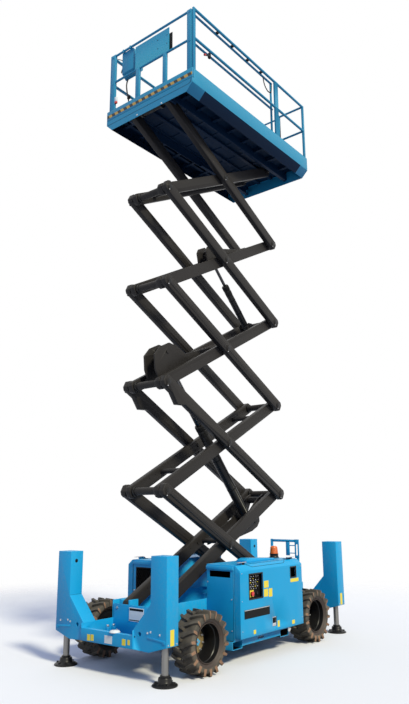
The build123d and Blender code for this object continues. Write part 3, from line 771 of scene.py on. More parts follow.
class LIFT_OT_outriggers(bpy.types.Operator):
    """Finishes the two outrigger beams with their towers, trays and strips"""

    bl_idname = "lift.outriggers"
    bl_label = "Outriggers"

    def execute(self, context):
        finishes = [body_paint(), patch_yellow(), patch_white(), matt_black(), bright_steel()]
        for end, name in ENDS:
            low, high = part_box(f"outrigger_{name}")
            tip = high.x if end > 0 else low.x
            tower = tip - end * 0.017 if end > 0 else tip
            middle_x = middle(f"leg_{name}_left").x

            def fittings(bm, end=end, tip=tip, tower=tower, middle_x=middle_x):
                out = (end, 0, 0)
                for side, _ in SIDES:
                    # folded strip over the foot of the tower
                    strip = [(0.595, 0.430), (0.800, 0.415), (0.800, 0.398), (0.835, 0.398),
                             (0.835, 0.432), (0.595, 0.449)]
                    near, far = sorted((tower, tower + end * 0.005))
                    pour(bm, plate([(side * y, z) for y, z in strip], near, far, "x", 0.001), 0)
                    heads = ((0.597, 0.486), (0.640, 0.499), (0.765, 0.484))
                    bolts(bm, [(tower, side * y, z) for y, z in heads], out, 4, 0.008)
                    pour(bm, bar((tower, side * 0.414, 0.432), (tower + end * 0.002, side * 0.414, 0.432),
                                 0.007, 16), 3)
                    # matt black strip of painted shade in the gap where the tower's sheets meet
                    label(bm, (middle_x - 0.088, side * TOWER_INNER_Y, TOWER_SEAM_Z - 0.0015),
                          (middle_x + 0.088, side * 0.6315, TOWER_SEAM_Z + 0.0015), 3)
                    # tall patch low on the side face
                    y = beside(side, 0.8515, 0.8535)
                    label(bm, (middle_x - 0.026, y[0], 0.378), (middle_x + 0.033, y[1], 0.530), 1)
                    bolts(bm, [(middle_x + dx, side * TOWER_OUTER_Y, 0.392) for dx in (-0.062, 0.065)],
                          (0, side, 0), 4, 0.006)
                    # black disc of painted shade for the opening high in the tower's inner face
                    x, y = middle_x + end * 0.009, beside(side, TOWER_INNER_Y, 0.6305)
                    pour(bm, bar((x, y[0], TOWER_HOLE_Z), (x, y[1], TOWER_HOLE_Z), 0.021, 20), 3)
                face = tip + end * 0.0012
                back = tip - end * 0.001
                for y0, y1, z0, z1, tone in (
                    (-0.292, -0.246, 0.322, 0.386, 1), (-0.236, -0.188, 0.326, 0.390, 1),
                    (0.246, 0.298, 0.334, 0.396, 1), (0.328, 0.362, 0.345, 0.396, 1),
                    (-0.018, 0.098, 0.326, 0.404, 2),
                ):
                    xs = sorted((back, face))
                    label(bm, (xs[0], y0, z0), (xs[1], y1, z1), tone)
                # round level on the flange
                centre = (tip - end * 0.036, 0.10, 0.438)
                pour(bm, turned(LEVEL_PROFILE, centre, "z", 40), 2)
                # two plugs with bright heads beside the wall
                for x, y in ((0.300, -0.290), (0.385, -0.285)):
                    foot = Vector((tip - end * x, y, TRAY_FLOOR))
                    for z0, z1, radius, tone in ((0, 0.095, 0.024, 0), (0.090, 0.118, 0.017, 4)):
                        ends = (foot + Vector((0, 0, z)) for z in (z0, z1))
                        pour(bm, bar(*ends, radius, 20, 0.003), tone)

            def lower_lip(place, tip=tip):
                on_top = min(abs(place.z - height) for height in LIP_TOPS) < NEAR
                if on_top and abs(place.x - tip) < 0.0625 and abs(place.y) < LIP_HALF_WIDTH:
                    place.z -= LIP_DROP
                return place

            dressed(f"outrigger_{name}", finishes, extra=fittings, reshape=lower_lip)
        return {"FINISHED"}


LEG_TUBE_RADIUS = 0.036
FOOT_PROFILE = (
    (0, 0), (0.126, 0), (0.130, 0.004), (0.130, 0.012), (0.122, 0.019), (0.092, 0.028),
    (0.078, 0.036), (0.071, 0.046), (0.069, 0.070), (0.064, 0.080), (0.050, 0.085), (0, 0.085),
)


class LIFT_OT_legs(bpy.types.Operator):
    """Finishes the outrigger legs: bright tubes on black feet"""

    bl_idname = "lift.legs"
    bl_label = "Outrigger legs"

    def execute(self, context):
        for _, end_name in ENDS:
            for _, side_name in SIDES:
                node = f"leg_{end_name}_{side_name}"
                low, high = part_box(node)
                centre = (low + high) / 2
                ground = Vector((centre.x, centre.y, 0))
                foot = turned(FOOT_PROFILE, ground, "z", 56)
                for turn in range(0, 360, 60):
                    lug = block((0.066, -0.011, 0.010), (0.108, 0.011, 0.040), 0.004)
                    pour(foot, lug, 0, Matrix.Translation(ground) @ Matrix.Rotation(radians(turn), 4, "Z"))
                rod = LEG_TUBE_RADIUS
                tube = [(0, 0.080), (rod, 0.080), (rod, high.z - 0.002), (rod - 0.002, high.z), (0, high.z)]
                pour(foot, turned(tube, ground, "z", 48), 1)
                collar = [(rod, 0.083), (0.050, 0.083), (0.050, 0.097), (0.047, 0.100), (rod, 0.100)]
                pour(foot, turned(collar, ground, "z", 48, True), 0)
                stand_in(node, [gloss_black(), leg_steel()], foot)
        return {"FINISHED"}


KINGPIN_Y = 0.612
KINGPIN_TOP = 0.399
CASING_BOLT_CIRCLE = 0.098


class LIFT_OT_axles(bpy.types.Operator):
    """Finishes the axles and steering knuckles as rough castings"""

    bl_idname = "lift.axles"
    bl_label = "Axles"

    def execute(self, context):
        finishes = [cast_iron(), bright_steel(), matt_black()]

        def kingpins(bm):
            centre = middle("front_axle")
            for side, _ in SIDES:
                x, y, cap = centre.x, side * KINGPIN_Y, KINGPIN_TOP + 0.008
                pour(bm, bar((x, y, KINGPIN_TOP), (x, y, cap), 0.034, 32, 0.002), 0)
                bolts(bm, [(x + dx, y, cap) for dx in (-0.02, 0.02)], (0, 0, 1), 1, 0.006)

        def casing(bm):
            centre = middle("rear_axle")
            for turn in range(0, 360, 36):
                y, z = (CASING_BOLT_CIRCLE * part(radians(turn)) for part in (cos, sin))
                for step in (-1, 1):
                    bolts(bm, [(centre.x + step * 0.130, y, 0.278 + z)], (step, 0, 0), 1, 0.007)

        dressed("front_axle", finishes, 0.006, extra=kingpins)
        dressed("rear_axle", finishes, 0.006, extra=casing)
        for _, side_name in SIDES:
            dressed(f"knuckle_{side_name}", finishes, 0.002)
        return {"FINISHED"}


TYRE_HALF = (
    (0.205, 0.106), (0.211, 0.114), (0.218, 0.119), (0.228, 0.1235), (0.234, 0.129), (0.241, 0.1365),
    (0.255, 0.1385), (0.272, 0.138), (0.286, 0.134), (0.295, 0.124), (0.298, 0.100), (0.299, 0.0),
)
LUG_PROFILE = (
    (-0.017, -0.080), (0.0165, -0.078), (0.017, 0.020), (0.0165, 0.064), (0.009, 0.0775),
    (-0.028, 0.081), (-0.060, 0.071), (-0.052, 0.052), (-0.017, 0.030),
)
LUG_SLANT = 24
LUG_CENTRE = (0.3076, 0.074)
TYRE_HALF_WIDTH = 0.1505
BEAD_BAND = (0.206, 0.238)      # radii of the band that the rim's flange covers


def one_lug(half):
    """A tread bar about its own middle: outwards along X, across the tread along Z."""
    points = LUG_PROFILE if half > 0 else [(x, -z) for x, z in LUG_PROFILE]
    lug = plate(points, -0.017, 0.017, "y")
    for vert in lug.verts:
        if vert.co.x > 0:
            vert.co.y *= 0.86
        vert.co.y += half * 0.010 * (abs(vert.co.z) / 0.08) ** 2
    top = [e for e in lug.edges if all(v.co.x > -0.03 for v in e.verts)]
    round_edges(lug, top, 0.0022, 2)
    for face in lug.faces:
        worn = face.normal.z * half > 0.55 and face.calc_center_median().x < 0.016
        face.material_index = 1 if worn else 0
    return lug


def tyre_form(centre):
    """The carcass of a tyre with its tread bars."""
    profile = list(TYRE_HALF) + [(r, -h) for r, h in reversed(TYRE_HALF[:-1])]
    bm = turned(profile, centre, "y", 96, True)
    for face in bm.faces:
        offset = face.calc_center_median() - centre
        radius = (offset.x ** 2 + offset.z ** 2) ** 0.5
        face.material_index = 2 if BEAD_BAND[0] < radius < BEAD_BAND[1] else 0
    hub = Matrix(((0, -1, 0, centre.x), (0, 0, 1, centre.y), (-1, 0, 0, centre.z), (0, 0, 0, 1)))
    count = sizes().lug_count
    for half in (-1, 1):
        for number in range(count):
            turn = Matrix.Rotation(radians(360 / count * (number + half / 4)), 4, "Z")
            out = Matrix.Translation((LUG_CENTRE[0], 0, half * LUG_CENTRE[1]))
            slant = Matrix.Rotation(radians(half * LUG_SLANT), 4, "X")
            pour(bm, one_lug(half), None, hub @ turn @ out @ slant)
    for vert in bm.verts:
        vert.co.y = min(max(vert.co.y, centre.y - TYRE_HALF_WIDTH), centre.y + TYRE_HALF_WIDTH)
    return bm


def rim_form(centre, side):
    """A dished wheel with its hub, nuts and cover plate."""
    profile = [
        (0, -0.1025), (0.188, -0.1025), (0.194, -0.112), (0.2045, -0.116), (0.2045, -0.104), (0.2025, -0.100),
        (0.2025, 0.100), (0.2045, 0.104), (0.2045, 0.1145), (0.200, 0.117), (0.194, 0.113), (0.1925, 0.104),
        (0.1925, 0.060), (0.186, 0.054), (0.186, -0.060), (0.178, -0.084), (0.160, -0.0885), (0.127, -0.0885),
        (0.125, -0.086), (0.125, -0.0555), (0.122, -0.0525), (0.060, -0.0525), (0.056, -0.0495), (0, -0.0495),
    ]
    bm = turned([(r, side * h) for r, h in profile], centre, "y", 64)
    for face in bm.faces:
        offset = face.calc_center_median() - centre
        radius = (offset.x ** 2 + offset.z ** 2) ** 0.5
        height = offset.y * side
        face.material_index = 1 if radius < 0.1262 and height > -0.090 else 0
        if radius > 0.1935 and height > 0.110:
            face.material_index = 4
    for turn in range(0, 360, 45):
        x, z = 0.100 * cos(radians(turn + 12)), 0.100 * sin(radians(turn + 12))
        foot = centre + Vector((x, side * -0.0525, z))
        pour(bm, bar(foot, foot + Vector((0, side * 0.014, 0)), 0.0125, 6, 0.0015), 2)
        pour(bm, bar(foot, foot + Vector((0, side * 0.026, 0)), 0.0065, 12, 0.001), 2)
    cover = block((-0.046, -0.030, -0.0505), (0.046, 0.030, -0.0385), 0.003)
    if side < 0:
        cover.transform(Matrix.Scale(-1, 4, (0, 0, 1)))
        bmesh.ops.reverse_faces(cover, faces=cover.faces)
    face_on = Matrix(((1, 0, 0, centre.x), (0, 0, 1, centre.y), (0, -1, 0, centre.z), (0, 0, 0, 1)))
    pour(bm, cover, 3, face_on @ Matrix.Rotation(radians(-38), 4, "Z"))
    foot = centre + Vector((0, side * -0.0385, 0))
    pour(bm, bar(foot, foot + Vector((0, side * 0.012, 0)), 0.011, 6, 0.0015), 2)
    return bm


class LIFT_OT_wheels(bpy.types.Operator):
    """Moulds the four lugged tyres and turns their dished wheels"""

    bl_idname = "lift.wheels"
    bl_label = "Wheels"

    def execute(self, context):
        hubs = {"front": (hub_paint(), hub_plate_blue()), "rear": (cast_iron(), matt_black())}
        for _, end_name in ENDS:
            for side, side_name in SIDES:
                name = f"{end_name}_{side_name}"
                centre = middle(f"tyre_{name}")
                hub, cover = hubs[end_name]
                stand_in(f"tyre_{name}", [rubber(), worn_rubber(), rim_flange()], tyre_form(centre), 32)
                stand_in(f"rim_{name}", [gloss_black(), hub, bright_steel(), cover, rim_flange()],
                         rim_form(centre, side), 32)
        return {"FINISHED"}


CABINET_FOOT = 0.3005           # vertices under this height are drawn down with the cabinets
CABINET_DROP = 0.050


class LIFT_OT_cabinets(bpy.types.Operator):
    """Finishes the two cabinets that hang from the chassis rails"""

    bl_idname = "lift.cabinets"
    bl_label = "Cabinets"

    def execute(self, context):
        finishes = [body_paint(), matt_black(), bright_steel(), rubber()]
        for side, name in SIDES:
            node = f"cabinet_{name}"
            low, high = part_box(node)
            room = inside_of(low, high, 0.05)

            def fittings(bm, side=side, low=low, high=high):
                # lip of the roof over the front sheet, and a matt black strip beside the door as painted
                # shade in the gap between door and cabinet
                y = beside(side, 0.412, 0.806)
                pour(bm, block((high.x - 0.004, y[0], 1.012), (high.x + 0.016, y[1], 1.052), 0.004), 0)
                y = beside(side, 0.800, 0.803)
                label(bm, (high.x - 0.001, y[0], 0.265), (high.x + 0.0015, y[1], 1.010), 1)
                if side > 0:
                    # hump on the roof and the box behind the rear sheet
                    hump = [(-0.450, 1.069), (0.170, 1.069), (0.170, 1.096), (0.080, 1.116), (-0.450, 1.090)]
                    pour(bm, plate([(at(x), z) for x, z in hump], 0.545, 0.700, "y", 0.004), 0)
                    pour(bm, block((at(-0.900), 0.600, 0.620), (at(-0.779), 0.812, 0.890), 0.006), 1)
                heads = ((0.43, 0.872), (0.779, 0.695), (0.779, 0.36))
                bolts(bm, [(high.x, side * y, z) for y, z in heads], (1, 0, 0), 2, 0.006)

            def deeper(place):
                if place.z < CABINET_FOOT:
                    place.z -= CABINET_DROP
                return place

            # faces that look into the cabinet's room are painted matt black as painted shade of its inside
            dressed(node, finishes, 0.004, tones=lambda face, room=room: 1 if room(face) else 0,
                    extra=fittings, reshape=deeper)
        return {"FINISHED"}


DOOR_FACE = 0.900
DOOR_FOOT = 0.3305
DOOR_LINING_FOOT = 0.338
WINDOWS = ((0.140, 0.410, 0.690, 0.960), (-0.630, -0.500, 0.860, 0.980))    # x from, to; z from, to
LATCH_TRAY = (-0.150, -0.060, 0.334, 0.443)
# blank patches and plates: x from, to; z from, to; finish; how far it stands out
LOW_PATCHES = (
    (-0.216, -0.170, 0.316, 0.388, 2, 0.0015), (0.294, 0.340, 0.305, 0.349, 2, 0.0015),
    (-0.566, -0.502, 0.307, 0.352, 2, 0.0015),
)
LEFT_PATCHES = (
    (0.008, 0.106, 0.786, 0.864, 2, 0.0015), (0.020, 0.110, 0.686, 0.772, 2, 0.0015),
    (-0.070, 0.004, 0.676, 0.770, 2, 0.0015), (-0.690, -0.494, 0.800, 0.842, 2, 0.0015),
    (-0.004, 0.517, 0.484, 0.580, 1, 0.0025), (-0.002, 0.515, 0.570, 0.578, 3, 0.0032),
)
# corners of the pressed scoop: x, and how far up the slanted shoulder
SCOOP = ((0.381, 1.0), (0.297, 0.5), (-0.402, 0.53), (-0.467, 1.0))


def window_frame(x0, x1, z0, z1):
    """The four bars round an opening, as x from, to and z from, to."""
    return (
        (x0 - 0.010, x0 + 0.004, z0 - 0.010, z1 + 0.010), (x1 - 0.004, x1 + 0.010, z0 - 0.010, z1 + 0.010),
        (x0, x1, z0 - 0.010, z0 + 0.004), (x0, x1, z1 - 0.004, z1 + 0.010),
    )


class LIFT_OT_doors(bpy.types.Operator):
    """Finishes the cabinet doors with latch, window frames and blank patches"""

    bl_idname = "lift.doors"
    bl_label = "Doors"

    def execute(self, context):
        finishes = [body_paint(), matt_black(), patch_yellow(), light_marks(), bright_steel(), gloss_black()]
        for side, name in SIDES:
            node = f"door_{name}"
            low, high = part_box(node)
            room = inside_of(low, high, 0.004)

            def fittings(bm, side=side):
                def on_face(x0, x1, z0, z1, tone, proud):
                    y = beside(side, DOOR_FACE - 0.0005, DOOR_FACE + proud)
                    label(bm, (at(x0), y[0], z0), (at(x1), y[1], z1), tone)

                # paddle latch in its sunk tray
                y = beside(side, 0.8940, 0.8957)
                label(bm, (at(-0.148), y[0], 0.336), (at(-0.062), y[1], 0.441), 4)
                y = beside(side, 0.893, 0.8995)
                pour(bm, block((at(-0.138), y[0], 0.372), (at(-0.072), y[1], 0.432), 0.003), 1)
                lock = [(at(-0.105), side * y, 0.355) for y in (0.895, DOOR_FACE)]
                pour(bm, bar(*lock, 0.011, 24, 0.001), 4)
                for patch in LOW_PATCHES + (LEFT_PATCHES if side > 0 else ()):
                    on_face(*patch)
                for window in WINDOWS if side > 0 else ():
                    for strip in window_frame(*window):
                        on_face(*strip, 5, 0.004)
                # thin matt black bars of painted shade along the edge of the pressed scoop on the shoulder,
                # and bright caps over the hinges
                corners = [Vector((at(x), side * (0.9005 - 0.068 * up), 1.0085 + 0.058 * up))
                           for x, up in SCOOP]
                for start, end in zip(corners, corners[1:]):
                    pour(bm, bar(start, end, 0.0022, 8), 1)
                for x in (0.460, -0.610):
                    y = beside(side, 0.816, 0.846)
                    pour(bm, block((at(x) - 0.080, y[0], 1.0925), (at(x) + 0.080, y[1], 1.0990), 0.002), 4)
                for x in (-0.75, 0.56):
                    heads = [(at(x), side * DOOR_FACE, z) for z in (0.36, 0.68, 0.98)]
                    bolts(bm, heads, (0, side, 0), 4, 0.004)

            def deeper(place):
                if place.z < DOOR_FOOT or abs(place.z - DOOR_LINING_FOOT) < NEAR:
                    place.z -= CABINET_DROP
                return place

            # the sheet is split at the edges of its openings and of the latch tray
            tank, control = WINDOWS[1], WINDOWS[0]
            x_cuts = (*tank[:2], *control[:2], *LATCH_TRAY[:2])
            z_cuts = (control[2], tank[2], control[3], tank[3], *LATCH_TRAY[2:])
            cuts = [("x", at(value)) for value in x_cuts] + [("z", value) for value in z_cuts]
            # faces that look into the door's hollow are painted matt black as painted shade
            dressed(node, finishes, 0.004, tones=lambda face, room=room: 1 if room(face) else 0,
                    extra=fittings, cuts=cuts, reshape=deeper)
        return {"FINISHED"}


PANEL_FACE = 0.857
PANEL_SHIFT = 0.105             # brings the panel's front up behind the door's opening
KNOB_Z = 0.738


class LIFT_OT_controls_and_engine(bpy.types.Operator):
    """Fits the lower control panel, the engine and the radiator mesh"""

    bl_idname = "lift.controls_and_engine"
    bl_label = "Lower controls and engine"

    def execute(self, context):
        finishes = [matt_black(), light_marks(), red_plastic(), patch_yellow(), bright_steel(), gloss_black()]

        def switches(bm):
            face = PANEL_FACE
            for row, z in enumerate((0.930, 0.885, 0.840, 0.795)):
                for column, x in enumerate((0.375, 0.325, 0.275, 0.225, 0.180)):
                    tone = 1 if (row + column) % 3 else 3
                    label(bm, (at(x - 0.013), face - 0.001, z + 0.017),
                          (at(x + 0.013), face + 0.001, z + 0.024), tone)
                    pour(bm, bar((at(x), face, z), (at(x), face + 0.012, z), 0.006, 12, 0.001), 4)
            label(bm, (at(0.265), face - 0.001, 0.700), (at(0.355), face + 0.002, 0.778), 3)
            stop = [(0, 0), (0.016, 0), (0.016, 0.014), (0.027, 0.018), (0.027, 0.024), (0, 0.030)]
            pour(bm, turned(stop, (at(0.310), face + 0.001, KNOB_Z), "y", 32), 2)
            key = [(0, 0), (0.018, 0), (0.016, 0.016), (0, 0.018)]
            pour(bm, turned(key, (at(0.205), face, KNOB_Z), "y", 24), 5)

        def nearer(place):
            if place.y > 0.74:
                place.y += PANEL_SHIFT
            return place

        dressed("control_panel", finishes, 0.0015, extra=switches, reshape=nearer)

        low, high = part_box("engine")
        x0, y0, z0 = low
        x1, y1, z1 = high
        # crankcase, head, rocker cover, fan housing and pump: corners, edge radius and finish
        castings = (
            ((x0 + 0.22, y0 + 0.06, z0), (x1 - 0.22, y1 - 0.05, z0 + 0.30), 0.012, None),
            ((x0 + 0.26, y0 + 0.09, z0 + 0.29), (x1 - 0.26, y1 - 0.09, z1 - 0.10), 0.01, 0),
            ((x0 + 0.29, y0 + 0.11, z1 - 0.11), (x1 - 0.29, y1 - 0.11, z1 - 0.03), 0.012, 1),
            ((x1 - 0.12, y0 + 0.01, z0 + 0.05), (x1 - 0.03, y1 - 0.01, z1 - 0.01), 0.006, 1),
            ((x0, y0 + 0.02, z0), (x0 + 0.18, y1 - 0.02, z0 + 0.34), 0.02, 1),
        )
        bm = bmesh.new()
        for near, far, edge, tone in castings:
            pour(bm, block(near, far, edge), tone)
        y = (y0 + y1) / 2
        pour(bm, bar((x1 - 0.22, y, z0 + 0.2), (x1 - 0.16, y, z0 + 0.2), 0.11, 40, 0.004), 0)
        pour(bm, bar((x0 + 0.02, y, z1 - 0.10), (x0 + 0.24, y, z1 - 0.10), 0.085, 32, 0.012), 1)
        for step in range(4):
            x, z = x0 + 0.32 + step * 0.10, z0 + 0.44
            pour(bm, bar((x, y0 + 0.09, z), (x, y0 + 0.045, z), 0.024, 20, 0.003), 2)
        stand_in("engine", [cast_iron(), matt_black(), bright_steel()], bm)

        low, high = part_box("radiator_grille")
        mesh = bmesh.new()
        bmesh.ops.create_grid(mesh, x_segments=18, y_segments=18, size=0.33)
        mesh.transform(Matrix.Rotation(radians(45), 4, "Z"))
        mesh.transform(Matrix.Scale(0.72, 4, (1, 0, 0)))
        centre = (low + high) / 2
        upright = Matrix(((0, 0, 1, high.x - 0.006), (1, 0, 0, centre.y), (0, 1, 0, centre.z), (0, 0, 0, 1)))
        mesh.transform(upright)
        for point, normal in (((0, low.y + 0.012, 0), (0, -1, 0)), ((0, high.y - 0.012, 0), (0, 1, 0)),
                              ((0, 0, low.z + 0.012), (0, 0, -1)), ((0, 0, high.z - 0.012), (0, 0, 1))):
            bmesh.ops.bisect_plane(mesh, geom=everything(mesh), plane_co=point, plane_no=normal,
                                   clear_outer=True)
        bmesh.ops.wireframe(mesh, faces=mesh.faces, thickness=0.0035, use_boundary=True, use_replace=True,
                            use_even_offset=True)
        frame_bars = (
            ((low.y, low.z), (high.y, low.z + 0.014)), ((low.y, high.z - 0.014), (high.y, high.z)),
            ((low.y, low.z), (low.y + 0.014, high.z)), ((high.y - 0.014, low.z), (high.y, high.z)),
        )
        for (y0, z0), (y1, z1) in frame_bars:
            pour(mesh, block((low.x, y0, z0), (high.x + 0.002, y1, z1), 0.002), 1)
        stand_in("radiator_grille", [gloss_black(), matt_black()], mesh)
        return {"FINISHED"}


POCKET_DROP = 0.046
POCKET_STRETCH = 1.2656         # brings the pockets' ends out to the cabinets' sides


class LIFT_OT_fork_pockets(bpy.types.Operator):
    """Finishes the fork pockets under the chassis"""

    bl_idname = "lift.fork_pockets"
    bl_label = "Fork pockets"

    def execute(self, context):
        low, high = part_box("fork_pockets")
        centre = (low + high) / 2

        # the pockets' inner faces are painted matt black as painted shade of the recess
        def painted_shade_inside(face):
            point = face.calc_center_median()
            return 1 if abs(point.y) < 0.79 and face.normal.dot(centre - point) > 0.02 else 0

        def lower(place):
            if place.z < CABINET_FOOT:
                place.z -= POCKET_DROP
            if abs(place.y) > 0.6:
                place.y *= POCKET_STRETCH
            return place

        dressed("fork_pockets", [body_paint(), matt_black()], 0.002, tones=painted_shade_inside, reshape=lower)
        return {"FINISHED"}


class LIFT_OT_ladder(bpy.types.Operator):
    """Finishes the entry ladder at the rear"""

    bl_idname = "lift.ladder"
    bl_label = "Entry ladder"

    def execute(self, context):
        foot, x0, x1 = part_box("entry_ladder")[0].z, at(-1.908), at(-1.892)
        left, right, top = -0.296, 0.202, 1.250
        bm = block((x0, left, foot), (x1, left + 0.041, top), 0.002)
        pour(bm, block((x0, right - 0.041, foot), (x1, right, 0.985), 0.002), 0)
        pour(bm, block((x0, left + 0.030, top - 0.041), (x1, 0.140, top - 0.004), 0.002), 0)
        # slotted hand plate at the left, with a second upright held by two short bars
        for y0, y1, z0, z1 in ((0.133, 0.152, 0.979, top), (0.183, right, 0.979, top),
                               (0.150, 0.185, 0.979, 1.020), (0.150, 0.185, 1.180, top)):
            pour(bm, block((x0, y0, z0), (x1, y1, z1), 0.001), 0)
        pour(bm, block((x0, -0.022, 1.014), (x1, 0.040, top - 0.030), 0.002), 0)
        middle_x = (x0 + x1) / 2
        for z in (1.050, 1.160):
            pour(bm, bar((middle_x, 0.036, z), (middle_x, 0.137, z), 0.007, 12), 0)
        for z in (0.940, 0.640):
            pour(bm, bar((middle_x, left + 0.02, z), (middle_x, right - 0.02, z), 0.016, 20), 0)
        stand_in("entry_ladder", [body_paint(), matt_black()], bm)
        return {"FINISHED"}


class LIFT_OT_beacon(bpy.types.Operator):
    """Turns the ribbed lens of the beacon on its black foot"""

    bl_idname = "lift.beacon"
    bl_label = "Beacon"

    def execute(self, context):
        low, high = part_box("beacon")
        centre = ((low.x + high.x) / 2, (low.y + high.y) / 2, 0)
        foot_top = low.z + 0.052
        rib = 0.0085
        lens = [(0, foot_top)]
        place = foot_top
        while place < high.z - 0.022:
            radius = 0.056 - 0.010 * (place - foot_top) / (high.z - foot_top)
            lens += [(radius - 0.0022, place), (radius, place + rib * 0.35), (radius, place + rib * 0.65)]
            place += rib
        lens += [(0.046, high.z - 0.014), (0.038, high.z - 0.004), (0.020, high.z), (0, high.z)]
        bm = turned(lens, centre, "z", 48)
        foot = [
            (0, low.z), (0.062, low.z), (0.062, low.z + 0.010), (0.057, low.z + 0.016),
            (0.057, foot_top - 0.004), (0.060, foot_top), (0, foot_top + 0.001),
        ]
        pour(bm, turned(foot, centre, "z", 48), 1)
        stand_in("beacon", [lens_orange(), gloss_black()], bm, 50)
        return {"FINISHED"}


def arm_place(level, inner):
    """Matrix from an arm's own frame (along it, across the machine, above it) to the machine's."""
    along = Vector(HALF_ARM).normalized()
    if not inner:
        along.z = -along.z
    across = Vector((0, -1, 0))
    above = along.cross(across)
    start = FRONT_PIN + Vector((0, 0, LEVEL_RISE * (level - 1 if inner else level)))
    matrix = Matrix((along, across, above)).transposed().to_4x4()
    matrix.translation = start
    return matrix


INNER_ARM_FACE = 0.1925         # inner face of an inner arm, and outer face of an outer arm
OUTER_ARM_FACE = 0.349
ARM_HOLES = (0.30, 0.42, 1.20, 1.55, 2.30, 2.44)    # along an arm, from its first pin


class LIFT_OT_scissor_arms(bpy.types.Operator):
    """Finishes the five levels of scissor arms with pin heads, collars, and black discs of painted shade in
    their holes
    """

    bl_idname = "lift.scissor_arms"
    bl_label = "Scissor arms"

    def execute(self, context):
        finishes = [arm_paint(), gloss_black(), matt_black(), bright_steel()]
        held = ((1, ARM_LENGTH), (LEVELS, 0))    # outer arm ends that sit in a slider or a bracket
        for level in range(1, LEVELS + 1):
            inner_place = arm_place(level, True)
            outer_place = arm_place(level, False)

            def inner_fittings(bm, place=inner_place):
                for side, _ in SIDES:
                    face = side * INNER_ARM_FACE
                    # matt black discs at the holes, painted shade for their dark insides
                    for u in ARM_HOLES:
                        hole_shade_disc = bar((u, face + side * 0.001, 0.02), (u, face - side * 0.002, 0.02), 0.007, 12)
                        pour(bm, hole_shade_disc, 2, place)
                    for u in (0, ARM_LENGTH):
                        pour(bm, bar((u, face, 0), (u, face - side * 0.005, 0), 0.040, 32, 0.0015), 1, place)

            def outer_fittings(bm, place=outer_place, level=level):
                for side, _ in SIDES:
                    for u in (0, ARM_LENGTH / 2, ARM_LENGTH):
                        if (level, u) in held:
                            continue
                        face = side * OUTER_ARM_FACE
                        pour(bm, bar((u, face, 0), (u, face + side * 0.005, 0), 0.046, 40, 0.001), 0, place)
                        pour(bm, bar((u, face, 0), (u, face + side * 0.0095, 0), 0.033, 32, 0.0015), 1, place)
                        keeper = block((u - 0.012, min(face, face + side * 0.011), -0.072),
                                       (u + 0.012, max(face, face + side * 0.011), -0.024), 0.001)
                        pour(bm, keeper, 1, place)
                        ends = [(u, face + side * out, -0.062) for out in (0.010, 0.016)]
                        pour(bm, bar(*ends, 0.007, 6), 3, place)
                    for u in (0, ARM_LENGTH):
                        pour(bm, bar((u, side * 0.160, 0), (u, side * 0.1875, 0), 0.058, 40, 0.003), 1, place)

            dressed(f"inner_arms_{level}", finishes, 0.006, extra=inner_fittings)
            dressed(f"outer_arms_{level}", finishes, 0.006, extra=outer_fittings)
        return {"FINISHED"}


# cylinder: rod eye as level, along and above its inner arm; barrel radius and length
CYLINDERS = (
    ("lower", (3, 0.432, 0.288), 0.065, 1.660),
    ("upper", (4, 1.459, 0.181), 0.048, 0.745),
)


def eye_place(level, along, above):
    """Where a rod's eye sits, from its place on an inner arm."""
    return arm_place(level, True) @ Vector((along, 0, above))


class LIFT_OT_cylinders(bpy.types.Operator):
    """Finishes the two lift cylinders, their rods and the lines along them"""

    bl_idname = "lift.cylinders"
    bl_label = "Lift cylinders"

    def execute(self, context):
        for name, eye, radius, length in CYLINDERS:
            foot = Vector(JOINTS[f"{name}_cylinder_pivot"]["pos_m"])
            line = (eye_place(*eye) - foot).normalized()
            top = foot + line * length
            out = line.cross(Vector((0, 1, 0))).normalized()
            if out.x > 0:
                out = -out

            def fittings(bm, foot=foot, line=line, top=top, radius=radius, length=length, out=out):
                pour(bm, bar(top - line * 0.075, top - line * 0.012, radius + 0.004, 48, 0.002), 1)
                for step in range(4):
                    at_ring = top - line * (0.10 + step * 0.018)
                    pour(bm, bar(at_ring, at_ring - line * 0.008, radius + 0.003, 48, 0.001), 1)
                # port blocks and the pipe between them
                first, last = 0.14, length - 0.13
                for along in (first, last):
                    ends = [foot + line * along + out * (radius + rise) for rise in (-0.01, 0.012)]
                    pour(bm, bar(*ends, 0.013, 24, 0.002), 1)
                route = (
                    (first, 0.004), (first, 0.006), (0.18, 0.006), (length / 2, 0.006),
                    (length - 0.17, 0.006), (last, 0.006), (last, 0.004),
                )
                points = [foot + line * along + out * (radius + rise) for along, rise in route]
                pour(bm, tube_line(points, 0.0055), 1)
                for along in (0.35, 0.65):
                    clip = foot + line * (length * along)
                    pour(bm, bar(clip, clip + line * 0.016, radius + 0.002, 40, 0.001), 1)

            dressed(f"{name}_cylinder", [gloss_black(), matt_black(), bright_steel()], 0.002, extra=fittings)
            dressed(f"{name}_rod", [chrome()], 0.002)
        for node in ("base_slider", "deck_slider"):
            dressed(node, [finish("slider_nylon", (0.55, 0.52, 0.44), rough=0.5, spread=0.2)], 0.002)
        return {"FINISHED"}


SHADED_SKIRT = (-1.40, 1.05)      # stretch of the slanted skirts that is given the underside's painted shade
